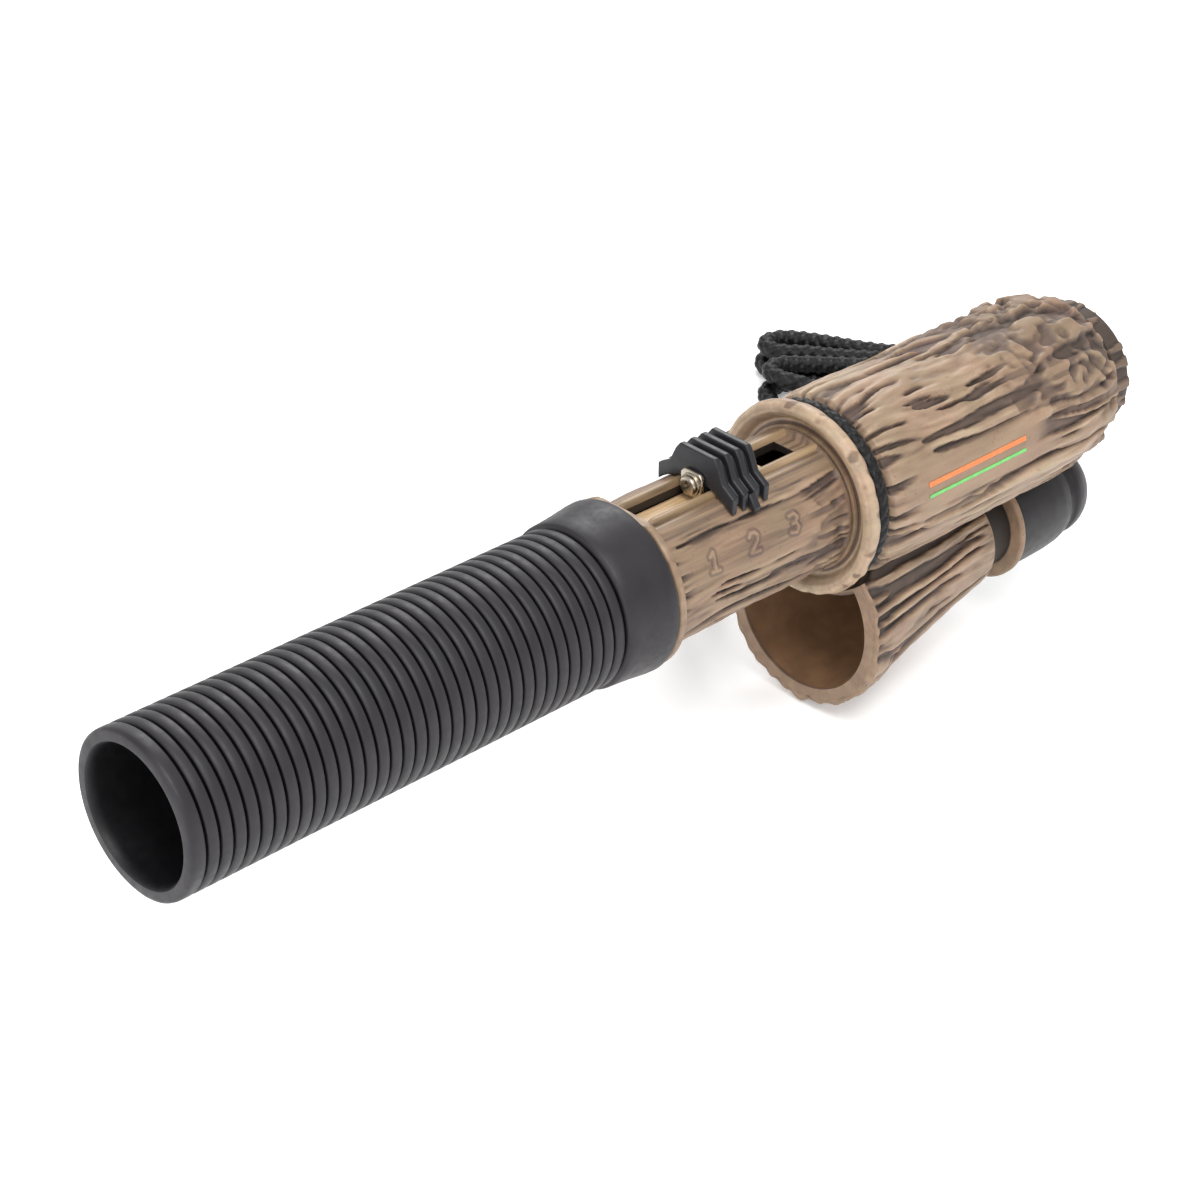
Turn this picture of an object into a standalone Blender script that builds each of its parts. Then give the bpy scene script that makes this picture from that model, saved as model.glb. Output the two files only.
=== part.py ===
"""A deer grunt call with a sliding pitch selector and a small snort tube under its barrel.

The long axis is X: the hose mouth faces -X and the two mouthpieces face +X. The pitch slider is on
top (+Z) and the snort tube is underneath. Z = 0 is the surface that the bell of the snort tube
touches. Lengths in this file are in millimetres until place() turns them into metres.
A station is a distance along X from the hose mouth; a height is measured from Z = 0.
"""

import math

import bmesh
import bpy
from mathutils import Vector

MM = 0.001
GAP = 0.3  # between neighbouring solids

# Whole object
LENGTH = 285.0
SNORT_DROP = 32.0  # from the barrel's axis down to the snort tube's axis
BELL_RADIUS = 24.0
SNORT_AXIS = BELL_RADIUS
MAIN_AXIS = SNORT_AXIS + SNORT_DROP

# Resonator hose
HOSE_RADIUS = 18.0
HOSE_BORE = 15.0
RIBS = 35
RIB_PITCH = 3.2
RIB_DEPTH = 1.3
RIBS_START = 1.0
CUFF_START = RIBS_START + RIBS * RIB_PITCH
CUFF_END = 126.6
CUFF_BORE = 16.9

# Slide barrel
SPIGOT_START = 109.0
FLANGE = (127.2, 129.2)
FLANGE_RADIUS = 19.5
TUBE_RADIUS = 16.8
TUBE_BORE = 13.4
TUBE_STEP = 183.6  # where the tube steps down to its plug
PLUG_RADIUS = 15.6
TUBE_END = 206.0
SLOT = (132.2, 178.5)
SLOT_HALF = 3.3
DECK = 15.0  # height of the flat on each side of the slot
SHUTTER = (128.0, 171.0)
RAIL = (130.5, 181.6)
RAIL_Y = 4.6
RAIL_Z = 14.95
RAIL_RADIUS = 1.25
PADS = (141.0, 153.5, 166.0)  # the three pitch marks
PAD_ANGLE = 65.0  # degrees from the top, towards -Y
PAD_SIZE = 7.4

# Slider
SLIDER_FRONT = 150.1
FIN = 1.5
FIN_GROOVE = 1.8
FINS = 4
SLIDER_END = SLIDER_FRONT + FINS * FIN + (FINS - 1) * FIN_GROOVE
FIN_OUTLINE = [(11.2, 11.6), (11.4, 16.9), (8.0, 19.0), (6.4, 22.6), (5.2, 24.2)]
CORE_OUTLINE = [(9.8, 11.6), (9.9, 16.2), (6.7, 18.2), (5.2, 21.4), (4.2, 22.6)]
KEEL_HALF = 3.0
KEEL_BOTTOM = 13.7
SCREW_Z = 16.6
SCREW_RADIUS = 1.15
SCREW_HOLE = 1.45

# Reed unit
BOARD = (141.0, 206.0)
BOARD_HALF = 5.0
BOARD_BOTTOM = -4.0
BOARD_TOP = 1.2
HOLDER = (189.0, 206.0)
BAND = (155.0, 156.8)

# Main barrel
LIP_START = 182.7
LIP_RADIUS = 23.3
LIP_STEP = 185.2  # floor of the funnel inside the lip
CORD_GROOVE = (186.4, 192.2)
GROOVE_FLOOR = 18.0
BARREL_RADIUS = 22.6
BARREL_END = 278.6
SOCKET_RADIUS = 15.9
SOCKET_END = 207.0
BARREL_BORE = 13.6

# Mouthpiece
RIM_START = 279.0
RIM_RADIUS = 16.2
RIM_SPIGOT = (261.0, 13.3)
RIM_BORE = 6.5

# Snort tube
BELL_FACE = 188.6
SNORT_BARK_END = 242.6
SNORT_RING = (250.9, 253.0)
SNORT_RING_RADIUS = 14.3
STUB_END = 262.0
STUB_RADIUS = 9.6

# Lanyard
CORD = 5.2
WRAP_STATION = 189.3
WRAP_RADIUS = GROOVE_FLOOR + GAP + CORD / 2
HANK_A = Vector((308.2, 107.2))  # the ends of the hank's straight runs: station and Y
HANK_B = Vector((350.2, 61.5))
HANK_HALF = 16.8
HANK_WAIST = 9.6
HANK_HEIGHT = 10.6
TIE_WIDTH = 6.0
TIE_WALL = 1.4
LEAD_OUT = [
    (186.0, 29.8, 46.6), (185.5, 30.8, 38.0), (186.6, 33.4, 27.0), (190.2, 38.6, 15.5),
    (197.2, 45.8, 6.6), (208.0, 54.0, 2.9), (223.0, 62.4, 2.7), (241.0, 71.2, 2.7),
    (259.0, 80.0, 2.7), (273.0, 88.4, 2.7), (282.6, 95.8, 2.7), (289.4, 102.2, 2.7),
]
LEAD_BACK = [
    (192.8, 30.2, 46.6), (193.7, 31.6, 38.0), (196.2, 34.8, 27.5), (200.8, 40.0, 16.5),
    (208.2, 46.4, 7.6), (219.2, 52.9, 3.2), (234.2, 60.4, 2.7), (252.2, 69.0, 2.7),
    (268.2, 77.2, 2.7), (279.4, 84.0, 2.8), (286.6, 88.4, 3.1), (292.2, 89.9, 4.2),
    (297.2, 88.9, 5.8),
]

SIDES = 32


def place(station, y, height):
    """A point of the object, in metres in its own frame."""
    return Vector(((station - LENGTH / 2) * MM, y * MM, height * MM))


def clear_scene():
    for obj in list(bpy.data.objects):
        bpy.data.objects.remove(obj)


def material(name, colour, roughness, metallic=0.0):
    made = bpy.data.materials.new(name)
    made.use_nodes = True
    shader = made.node_tree.nodes["Principled BSDF"]
    shader.inputs["Base Color"].default_value = (*colour, 1.0)
    shader.inputs["Roughness"].default_value = roughness
    shader.inputs["Metallic"].default_value = metallic
    return made


def object_from(name, bm, look, smooth_angle=35.0):
    """Closes a bmesh into an object of its own, shaded smooth except across sharp edges."""
    bmesh.ops.remove_doubles(bm, verts=bm.verts, dist=1e-7)
    bmesh.ops.recalc_face_normals(bm, faces=bm.faces)
    mesh = bpy.data.meshes.new(name)
    bm.to_mesh(mesh)
    bm.free()
    mesh.shade_smooth()
    mesh.set_sharp_from_angle(angle=math.radians(smooth_angle))
    obj = bpy.data.objects.new(name, mesh)
    bpy.context.scene.collection.objects.link(obj)
    if look:
        mesh.materials.append(look)
    else:
        obj.hide_render = True
        obj.display_type = "WIRE"
    return obj


def turned(name, profile, axis_height, look=None, sides=SIDES):
    """A ring or plug turned about a line along X. profile is a closed loop of (station, radius)."""
    bm = bmesh.new()
    loop = [bm.verts.new(place(x, 0, axis_height - r)) for x, r in profile]
    edges = [bm.edges.new((a, b)) for a, b in zip(loop, loop[1:] + loop[:1])]
    bmesh.ops.spin(
        bm, geom=loop + edges, cent=place(0, 0, axis_height), axis=(1, 0, 0),
        angle=math.tau, steps=sides, use_merge=True,
    )
    return object_from(name, bm, look)


def rod(name, start, end, radius, y, height, look=None, sides=16):
    """A plain round bar along X."""
    bm = bmesh.new()
    turns = [math.tau * k / sides for k in range(sides)]
    circle = [(y + radius * math.sin(t), height - radius * math.cos(t)) for t in turns]
    loft_into(bm, [(start, circle), (end, circle)])
    return object_from(name, bm, look)


def loft_into(bm, sections):
    """Joins outlines of equal point count, each (station, [(y, height), ...]), and caps both ends."""
    loops = [[bm.verts.new(place(x, y, z)) for y, z in outline] for x, outline in sections]
    for near, far in zip(loops, loops[1:]):
        for k in range(len(near)):
            after = (k + 1) % len(near)
            bm.faces.new((near[k], near[after], far[after], far[k]))
    bm.faces.new(loops[0])
    bm.faces.new(loops[-1])


def lofted(name, sections, look=None):
    bm = bmesh.new()
    loft_into(bm, sections)
    return object_from(name, bm, look)


def rectangle(half_width, bottom, top, centre=0.0):
    """An outline in Y and height."""
    left, right = centre - half_width, centre + half_width
    return [(left, bottom), (right, bottom), (right, top), (left, top)]


def block(name, start, end, half_width, bottom, top, look=None, centre=0.0):
    outline = rectangle(half_width, bottom, top, centre)
    return lofted(name, [(start, outline), (end, outline)], look)


def boolean(obj, other, operation):
    made = obj.modifiers.new(other.name, "BOOLEAN")
    made.operation = operation
    made.solver = "EXACT"
    made.object = other


def cut(obj, *cutters):
    for cutter in cutters:
        boolean(obj, cutter, "DIFFERENCE")


def join(obj, *pieces):
    for piece in pieces:
        boolean(obj, piece, "UNION")


def ring_of_round_section(name, station, axis_height, middle, section, look, sides=SIDES, steps=8):
    """An O-ring, or one turn of cord, about a line along X."""
    turns = [math.tau * (k + 0.5) / steps for k in range(steps)]
    profile = [(station + section * math.cos(t), middle + section * math.sin(t)) for t in turns]
    return turned(name, profile, axis_height, look, sides)


def smooth_route(points, spacing):
    """Points at about the given spacing on a Catmull-Rom curve through the route's own points."""
    route = [Vector(p) for p in points]
    route = [2 * route[0] - route[1]] + route + [2 * route[-1] - route[-2]]
    made = []
    for before, start, end, after in zip(route, route[1:], route[2:], route[3:]):
        steps = max(1, round((end - start).length / spacing))
        for k in range(steps):
            t = k / steps
            made.append(
                0.5 * (2 * start + (end - before) * t
                       + (2 * before - 5 * start + 4 * end - after) * t ** 2
                       + (3 * start - before - 3 * end + after) * t ** 3)
            )
    return made + [route[-2]]


def cord_tube(name, points, look):
    curve = bpy.data.curves.new(name, "CURVE")
    curve.dimensions = "3D"
    curve.bevel_depth = CORD / 2 * MM
    curve.bevel_resolution = 2
    curve.use_fill_caps = True
    line = smooth_route(points, 2.5 * CORD)
    spline = curve.splines.new("POLY")
    spline.points.add(len(line) - 1)
    for point, at in zip(spline.points, line):
        point.co = (*place(*at), 1.0)
    curve.materials.append(look)
    obj = bpy.data.objects.new(name, curve)
    bpy.context.scene.collection.objects.link(obj)
    return obj


# Resonator hose


def make_hose(rubber):
    """Ribbed outside, plain inside, with a plain cuff that grips the barrel's spigot."""
    outer = [(0.0, HOSE_RADIUS - 0.8), (0.7, HOSE_RADIUS)]
    for k in range(RIBS):
        start = RIBS_START + k * RIB_PITCH
        outer += [
            (start + 0.35 * RIB_PITCH, HOSE_RADIUS),
            (start + 0.85 * RIB_PITCH, HOSE_RADIUS - RIB_DEPTH),
        ]
    outer += [
        (CUFF_START, 18.7), (CUFF_START + 6, 19.1), (CUFF_END - 1.0, 19.9), (CUFF_END, 19.3),
    ]
    inner = [
        (CUFF_END, CUFF_BORE), (SPIGOT_START - GAP, CUFF_BORE), (SPIGOT_START - GAP, HOSE_BORE),
        (0.0, HOSE_BORE),
    ]
    return turned("resonator_hose", outer + inner, MAIN_AXIS, rubber, sides=18)


# Slide barrel and what it carries


def make_slide_barrel(camo, rubber):
    spigot = CUFF_BORE - GAP
    oring = 198.0
    barrel = turned(
        "slide_barrel",
        [
            (SPIGOT_START, spigot - 0.6), (SPIGOT_START + 1.5, spigot), (FLANGE[0], spigot),
            (FLANGE[0], FLANGE_RADIUS), (FLANGE[1], FLANGE_RADIUS), (FLANGE[1], TUBE_RADIUS),
            (TUBE_STEP, TUBE_RADIUS), (TUBE_STEP, PLUG_RADIUS), (oring - 1.0, PLUG_RADIUS),
            (oring - 1.0, 14.3), (oring + 1.0, 14.3), (oring + 1.0, PLUG_RADIUS),
            (TUBE_END, PLUG_RADIUS), (TUBE_END, TUBE_BORE), (SPIGOT_START, TUBE_BORE),
        ],
        MAIN_AXIS, camo,
    )
    cut(barrel, block("deck_flat", RAIL[0], TUBE_STEP - 1.0, 12, MAIN_AXIS + DECK, MAIN_AXIS + 20))
    for side, word in ((1, "left"), (-1, "right")):
        join(barrel, rod(f"rail_{word}", *RAIL, RAIL_RADIUS, side * RAIL_Y, MAIN_AXIS + RAIL_Z, sides=8))
    for number, station in enumerate(PADS, 1):
        join(barrel, pitch_pad(f"pitch_pad_{number}", station))
    cut(barrel, block("slot", *SLOT, SLOT_HALF, MAIN_AXIS + 6, MAIN_AXIS + 20))
    ring_of_round_section("barrel_oring", oring, MAIN_AXIS, 14.97, 0.55, rubber, steps=6)


def pitch_pad(name, station):
    """A slightly raised square that carries one pitch mark, square to the tube's surface."""
    angle = math.radians(PAD_ANGLE)
    out = Vector((-math.sin(angle), math.cos(angle)))
    along = Vector((math.cos(angle), math.sin(angle)))
    corners = []
    for radius, side in ((TUBE_RADIUS - 1.2, -1), (TUBE_RADIUS + 0.4, -1),
                         (TUBE_RADIUS + 0.4, 1), (TUBE_RADIUS - 1.2, 1)):
        y, z = out * radius + along * side * PAD_SIZE / 2
        corners.append((y, MAIN_AXIS + z))
    return lofted(name, [(station - PAD_SIZE / 2, corners), (station + PAD_SIZE / 2, corners)])


def make_reed_unit(plastic, film, rubber):
    """The tone board, its reed and wedge, and the plug that holds them in the slide barrel's end."""
    low = MAIN_AXIS + BOARD_BOTTOM
    board = lofted(
        "tone_board",
        [
            (BOARD[0], rectangle(BOARD_HALF, low, MAIN_AXIS)),
            (190.0, rectangle(BOARD_HALF, low, MAIN_AXIS + BOARD_TOP)),
            (BOARD[1], rectangle(BOARD_HALF, low, MAIN_AXIS + BOARD_TOP)),
        ],
        plastic,
    )
    cut(board, block("tone_channel", 146.0, BOARD[1] + 1, 3.0, MAIN_AXIS - 2.2, MAIN_AXIS + 3))
    reed_bottom = MAIN_AXIS + BOARD_TOP + GAP
    block("reed", 143.0, 203.0, 4.2, reed_bottom, reed_bottom + 0.4, film)
    block("reed_wedge", 190.5, 205.0, 4.6, reed_bottom + 0.4 + GAP, MAIN_AXIS + 4.7, rubber)
    oring = 200.0
    holder = turned(
        "reed_holder",
        [
            (HOLDER[0], 12.6), (HOLDER[0] + 0.6, 13.1), (oring - 0.9, 13.1), (oring - 0.9, 11.7),
            (oring + 0.9, 11.7), (oring + 0.9, 13.1), (HOLDER[1], 13.1), (HOLDER[1], 3.0),
            (HOLDER[0], 3.0),
        ],
        MAIN_AXIS, plastic,
    )
    cut(holder, block("holder_window", HOLDER[0] - 1, HOLDER[1] + 1, BOARD_HALF + GAP,
                      low - GAP, MAIN_AXIS + 5.0))
    ring_of_round_section("holder_oring", oring, MAIN_AXIS, 12.5, 0.5, rubber, steps=6)


# Slider


def mirrored(outline, height):
    """A left-right symmetric outline from its right half, listed bottom to top."""
    right = [(y, height + z) for y, z in outline]
    return right + [(-y, z) for y, z in reversed(right)]


def make_slider_grip(rubber):
    """Four fins on a core, astride the rails, with a keel that runs in the slot."""
    fin = mirrored(FIN_OUTLINE, MAIN_AXIS)
    core = mirrored(CORE_OUTLINE, MAIN_AXIS)
    sections = []
    for k in range(FINS):
        start = SLIDER_FRONT + k * (FIN + FIN_GROOVE)
        sections += [(start, fin), (start + FIN, fin)]
        if k < FINS - 1:
            sections += [(start + FIN, core), (start + FIN + FIN_GROOVE, core)]
    grip = lofted("slider_grip", sections, rubber)
    beyond = (SLIDER_FRONT - 2, SLIDER_END + 2)
    cut(grip, rod("tube_clearance", *beyond, TUBE_RADIUS + 0.35, 0, MAIN_AXIS, sides=64))
    for side, word in ((1, "left"), (-1, "right")):
        cut(grip, rod(f"rail_clearance_{word}", *beyond, RAIL_RADIUS + 0.35, side * RAIL_Y,
                      MAIN_AXIS + RAIL_Z, sides=12))
    join(grip, block("keel", SLIDER_FRONT + 0.3, SLIDER_END - 0.3, KEEL_HALF,
                     MAIN_AXIS + KEEL_BOTTOM, MAIN_AXIS + 18.5))
    join(grip, pitch_pointer())
    cut(grip, block("tab_pocket", 152.9, 158.7, 1.9, MAIN_AXIS + 12, MAIN_AXIS + 19.7))
    cut(grip, rod("grip_screw_hole", *beyond, SCREW_HOLE, 0, MAIN_AXIS + SCREW_Z, sides=12))


def pitch_pointer():
    """The small tab on the slider's -Y side that points at the pitch marks."""
    outline = [(-10.6, 14.2), (-12.9, 12.1), (-13.9, 12.8), (-11.2, 16.2)]
    outline = [(y, MAIN_AXIS + z) for y, z in outline]
    return lofted("pitch_pointer", [(155.2, outline), (157.0, outline)])


def make_carriage(plastic, rubber):
    """The fork under the slot that carries the rubber band along the reed, and its tab."""
    carriage = turned(
        "reed_carriage", [(153.4, 11.5), (158.2, 11.5), (158.2, 3.0), (153.4, 3.0)],
        MAIN_AXIS, plastic,
    )
    join(carriage, block("carriage_tab", 153.4, 158.2, 1.6, MAIN_AXIS + 10, MAIN_AXIS + 19.4))
    cut(carriage, block("board_window", 150, 162, BOARD_HALF + 0.6, MAIN_AXIS - 15, MAIN_AXIS + 2.7))
    cut(carriage, block("band_pocket", 154.6, 157.2, 7.4, MAIN_AXIS - 15, MAIN_AXIS + 4.3))
    cut(carriage, block("open_underside", 150, 162, 15, MAIN_AXIS - 15, MAIN_AXIS - 5.0))
    cut(carriage, rod("tab_screw_hole", 150, 162, SCREW_HOLE, 0, MAIN_AXIS + SCREW_Z, sides=12))
    band = block("reed_band", *BAND, 7.0, MAIN_AXIS - 6.0, MAIN_AXIS + 3.85, rubber)
    cut(band, block("band_hole", 150, 162, 5.4, MAIN_AXIS - 4.4, MAIN_AXIS + 2.25))


def make_shutter(camo):
    """The strip that closes the slot from inside and slides with the carriage, whose tab it clears."""
    shutter = block("slot_shutter", *SHUTTER, SLOT_HALF - GAP, MAIN_AXIS + 11.9, MAIN_AXIS + 12.7, camo)
    cut(shutter, block("tab_clearance", 153.1, 158.5, 1.9, MAIN_AXIS + 10, MAIN_AXIS + 14))


def make_clamp(metal):
    """The nickel plate, screw and square nut that clamp the grip to the carriage's tab."""
    centre = MAIN_AXIS + SCREW_Z
    half, chamfer = 3.1, 0.9
    outline = [
        (y, centre + z)
        for y, z in (
            (-half + chamfer, -half), (half - chamfer, -half), (half, -half + chamfer),
            (half, half - chamfer), (half - chamfer, half), (-half + chamfer, half),
            (-half, half - chamfer), (-half, -half + chamfer),
        )
    ]
    plate_start, plate_end = SLIDER_FRONT - GAP - 1.0, SLIDER_FRONT - GAP
    plate = lofted("clamp_plate", [(plate_start, outline), (plate_end, outline)], metal)
    cut(plate, rod("plate_hole", plate_start - 1, plate_end + 1, SCREW_HOLE, 0, centre, sides=12))
    head_end = plate_start - 0.25
    screw = turned(
        "clamp_screw",
        [
            (head_end - 1.5, 0.0), (head_end - 1.5, 1.3), (head_end - 0.9, 2.1), (head_end, 2.2),
            (head_end, SCREW_RADIUS), (SLIDER_END + 2.2, SCREW_RADIUS), (SLIDER_END + 2.2, 0.0),
        ],
        centre, metal, sides=16,
    )
    depth = (head_end - 2.5, head_end - 0.7)
    cut(screw, block("cross_slot_a", *depth, 1.25, centre - 0.25, centre + 0.25))
    cut(screw, block("cross_slot_b", *depth, 0.25, centre - 1.25, centre + 1.25))
    nut = block("clamp_nut", SLIDER_END + GAP, SLIDER_END + GAP + 1.5, 2.6,
                centre - 2.6, centre + 2.6, metal)
    cut(nut, rod("nut_hole", SLIDER_END, SLIDER_END + 3, SCREW_HOLE, 0, centre, sides=12))


# Main barrel and mouthpiece


def make_main_barrel(camo):
    barrel = turned(
        "main_barrel",
        [
            (LIP_STEP, 17.3), (LIP_STEP, 18.9), (LIP_START + 0.8, 20.0), (LIP_START, 21.0),
            (LIP_START, 22.0), (LIP_START + 0.9, 23.0), (LIP_START + 2.2, LIP_RADIUS),
            (CORD_GROOVE[0] - 0.4, 22.8), (CORD_GROOVE[0], GROOVE_FLOOR),
            (CORD_GROOVE[1], GROOVE_FLOOR), (CORD_GROOVE[1], 21.6),
            (CORD_GROOVE[1] + 3.0, 22.3), (205.0, BARREL_RADIUS), (264.0, BARREL_RADIUS),
            (270.0, 22.2), (274.5, 20.8), (277.2, 19.0), (BARREL_END, 17.4),
            (BARREL_END, BARREL_BORE), (SOCKET_END, BARREL_BORE), (SOCKET_END, SOCKET_RADIUS),
            (TUBE_STEP + 0.6, SOCKET_RADIUS), (TUBE_STEP + 0.6, 17.3),
        ],
        MAIN_AXIS, camo,
    )
    cut(barrel, rod("snort_mouthpiece_relief", 242.0, LENGTH, SNORT_RING_RADIUS + 0.6, 0,
                    SNORT_AXIS, sides=48))


def make_mouthpiece(camo, rubber):
    """The rim that the lips close on, pressed into the rear of the main barrel."""
    start, spigot = RIM_SPIGOT
    oring = 267.0
    turned(
        "main_mouthpiece",
        [
            (start, spigot - 0.6), (start + 1.0, spigot), (oring - 0.9, spigot),
            (oring - 0.9, 12.0), (oring + 0.9, 12.0), (oring + 0.9, spigot), (RIM_START, spigot),
            (RIM_START, 14.8), (RIM_START + 1.4, RIM_RADIUS), (LENGTH - 1.6, RIM_RADIUS),
            (LENGTH, 14.6), (LENGTH, 11.4), (LENGTH - 4.0, 8.0), (LENGTH - 9.0, RIM_BORE),
            (start + 4.0, RIM_BORE), (start, 10.0),
        ],
        MAIN_AXIS, camo,
    )
    ring_of_round_section("mouthpiece_oring", oring, MAIN_AXIS, 12.7, 0.5, rubber, steps=6)


# Snort tube


def make_snort_tube(camo, rubber, plastic):
    body = turned(
        "snort_body",
        [
            (BELL_FACE, 23.4), (BELL_FACE + 0.8, BELL_RADIUS), (194.0, 23.4), (203.0, 21.0),
            (214.0, 18.6), (228.0, 15.8), (240.0, 13.9), (SNORT_BARK_END, 13.6),
            (SNORT_BARK_END, 11.2), (SNORT_RING[0], 11.2), (SNORT_RING[0], SNORT_RING_RADIUS),
            (SNORT_RING[1], SNORT_RING_RADIUS), (SNORT_RING[1], STUB_RADIUS),
            (STUB_END, STUB_RADIUS), (STUB_END, 6.0), (250.0, 6.0), (240.0, 9.0), (222.0, 12.6),
            (205.0, 16.6), (BELL_FACE, 19.4),
        ],
        SNORT_AXIS, camo,
    )
    cut(body, rod("barrel_saddle", 180.0, SNORT_BARK_END - 0.1, BARREL_RADIUS + GAP, 0,
                  MAIN_AXIS, sides=64))
    cut(body, rod("cord_saddle", 180.0, CORD_GROOVE[1] + 0.4, WRAP_RADIUS + CORD / 2 + 0.4, 0,
                  MAIN_AXIS, sides=64))
    turned(
        "snort_jet", [(254.0, 5.2), (254.5, 5.7), (260.0, 5.7), (260.0, 1.8), (254.0, 1.8)],
        SNORT_AXIS, plastic, sides=16,
    )
    start = SNORT_RING[1] + GAP
    turned(
        "snort_mouthpiece",
        [
            (start, 13.4), (266.0, 13.3), (271.5, 12.9), (273.2, 12.3), (274.4, 11.4),
            (276.0, 11.5), (277.4, 12.1), (281.0, 11.6), (283.6, 9.8), (LENGTH, 7.2),
            (LENGTH, 3.8), (279.0, 3.8), (276.0, 5.6), (STUB_END + 0.6, 5.6),
            (STUB_END + 0.6, STUB_RADIUS + GAP), (start, STUB_RADIUS + GAP),
        ],
        SNORT_AXIS, rubber,
    )


# Lanyard


def make_lanyard(cord):
    """One turn in the barrel's groove, a knot behind it, two leads, and the rest in a tied hank."""
    ring_of_round_section("lanyard_wrap", WRAP_STATION, MAIN_AXIS, WRAP_RADIUS, CORD / 2, cord)
    knot_y, knot_height = WRAP_RADIUS + CORD / 2 + GAP + 4.6, MAIN_AXIS - 2.0
    bm = bmesh.new()
    bmesh.ops.create_uvsphere(bm, u_segments=12, v_segments=8, radius=1.0)
    size = (6.4, 4.6, 4.8)
    for vert in bm.verts:
        vert.co = place(*(Vector((WRAP_STATION, knot_y, knot_height))
                          + Vector([s * c for s, c in zip(size, vert.co)])))
    object_from("lanyard_knot", bm, cord)
    cord_tube("lanyard_lead_out", LEAD_OUT, cord)
    cord_tube("lanyard_lead_back", LEAD_BACK, cord)
    make_hank(cord)


def hank_axes():
    """The hank's middle and its directions along and across, in station and Y."""
    along = (HANK_A - HANK_B).normalized()
    return (HANK_A + HANK_B) / 2, along, Vector((-along.y, along.x))


def make_hank(cord):
    """The hank's outline has round ends and a waist, where the tie holds its runs together."""
    middle, along, across = hank_axes()
    half_run = (HANK_A - HANK_B).length / 2
    side = []
    for k in range(-4, 5):
        wide = min(1.0, max(0.0, (abs(k) - 1) / 3))
        half_width = HANK_WAIST + (HANK_HALF - HANK_WAIST) * math.sin(math.pi / 2 * wide) ** 2
        side.append(Vector((-k / 4 * half_run, half_width)))
    round_end = [
        Vector((half_run + HANK_HALF * math.sin(turn), HANK_HALF * math.cos(turn)))
        for turn in (math.pi * k / 8 for k in range(1, 8))
    ]
    outline = side + [Vector((-x, y)) for x, y in round_end]
    outline += [Vector((x, -y)) for x, y in reversed(side)]
    outline += [Vector((x, y)) for x, y in reversed(round_end)]
    extruded_plan("lanyard_hank", middle, along, across, outline, 0.0, HANK_HEIGHT, cord)
    hank = bpy.data.objects["lanyard_hank"]
    inner, outer = HANK_WAIST + 0.6, HANK_WAIST + 0.6 + TIE_WALL
    notch = plan_rectangle(TIE_WIDTH / 2 + 0.5, outer + 8)
    cut(hank, extruded_plan("tie_notch", middle, along, across, notch, -1, TIE_WALL + GAP))
    tie = extruded_plan("hank_tie", middle, along, across, plan_rectangle(TIE_WIDTH / 2, outer),
                        0.0, HANK_HEIGHT + GAP + TIE_WALL, cord)
    cut(tie, extruded_plan("tie_hole", middle, along, across, plan_rectangle(TIE_WIDTH, inner),
                           TIE_WALL, HANK_HEIGHT + GAP))


def plan_rectangle(half_length, half_width):
    return [Vector((a * half_length, b * half_width)) for a, b in ((1, 1), (-1, 1), (-1, -1), (1, -1))]


def extruded_plan(name, middle, along, across, outline, bottom, top, look=None):
    """A prism that stands on the floor plan. outline is in the hank's own along and across."""
    bm = bmesh.new()
    rings = []
    for height in (bottom, top):
        plan = [middle + along * p.x + across * p.y for p in outline]
        rings.append([bm.verts.new(place(p.x, p.y, height)) for p in plan])
    for k in range(len(outline)):
        after = (k + 1) % len(outline)
        bm.faces.new((rings[0][k], rings[0][after], rings[1][after], rings[1][k]))
    for ring in rings:
        bm.faces.new(ring)
    return object_from(name, bm, look)


def main():
    clear_scene()
    camo = material("camo_plastic", (0.32, 0.22, 0.14), 0.55)
    rubber = material("charcoal_rubber", (0.045, 0.042, 0.048), 0.5)
    plastic = material("clear_black_plastic", (0.03, 0.03, 0.035), 0.35)
    film = material("reed_film", (0.55, 0.5, 0.4), 0.25)
    metal = material("nickel_steel", (0.62, 0.58, 0.5), 0.3, metallic=1.0)
    cord = material("braided_cord", (0.012, 0.012, 0.013), 0.8)
    make_hose(rubber)
    make_slide_barrel(camo, rubber)
    make_reed_unit(plastic, film, rubber)
    make_slider_grip(rubber)
    make_carriage(plastic, rubber)
    make_shutter(camo)
    make_clamp(metal)
    make_main_barrel(camo)
    make_mouthpiece(camo, rubber)
    make_snort_tube(camo, rubber, plastic)
    make_lanyard(cord)


main()
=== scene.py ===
import math

import bmesh
import bpy
import numpy as np
from mathutils import Matrix, Vector


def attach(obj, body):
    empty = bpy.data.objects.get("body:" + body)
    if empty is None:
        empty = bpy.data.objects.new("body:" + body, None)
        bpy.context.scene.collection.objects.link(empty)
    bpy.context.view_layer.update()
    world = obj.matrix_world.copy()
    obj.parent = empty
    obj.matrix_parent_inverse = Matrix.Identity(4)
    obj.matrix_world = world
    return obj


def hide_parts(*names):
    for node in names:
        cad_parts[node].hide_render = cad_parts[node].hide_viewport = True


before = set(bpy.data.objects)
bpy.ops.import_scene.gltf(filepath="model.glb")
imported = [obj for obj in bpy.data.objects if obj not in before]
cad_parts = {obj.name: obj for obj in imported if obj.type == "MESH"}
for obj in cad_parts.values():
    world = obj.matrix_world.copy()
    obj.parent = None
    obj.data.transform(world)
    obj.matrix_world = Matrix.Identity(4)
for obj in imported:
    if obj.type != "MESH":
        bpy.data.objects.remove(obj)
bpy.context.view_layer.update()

# The frame, in millimetres. A station is a distance along X from the hose mouth.
LENGTH = 285.0
MAIN_AXIS = 56.0
SNORT_AXIS = 24.0
BARREL_R = 22.4
SLIDE_R = 16.8
FLOOR_GAP = 0.02  # the least height of the soft pieces that lie on the floor


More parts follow.
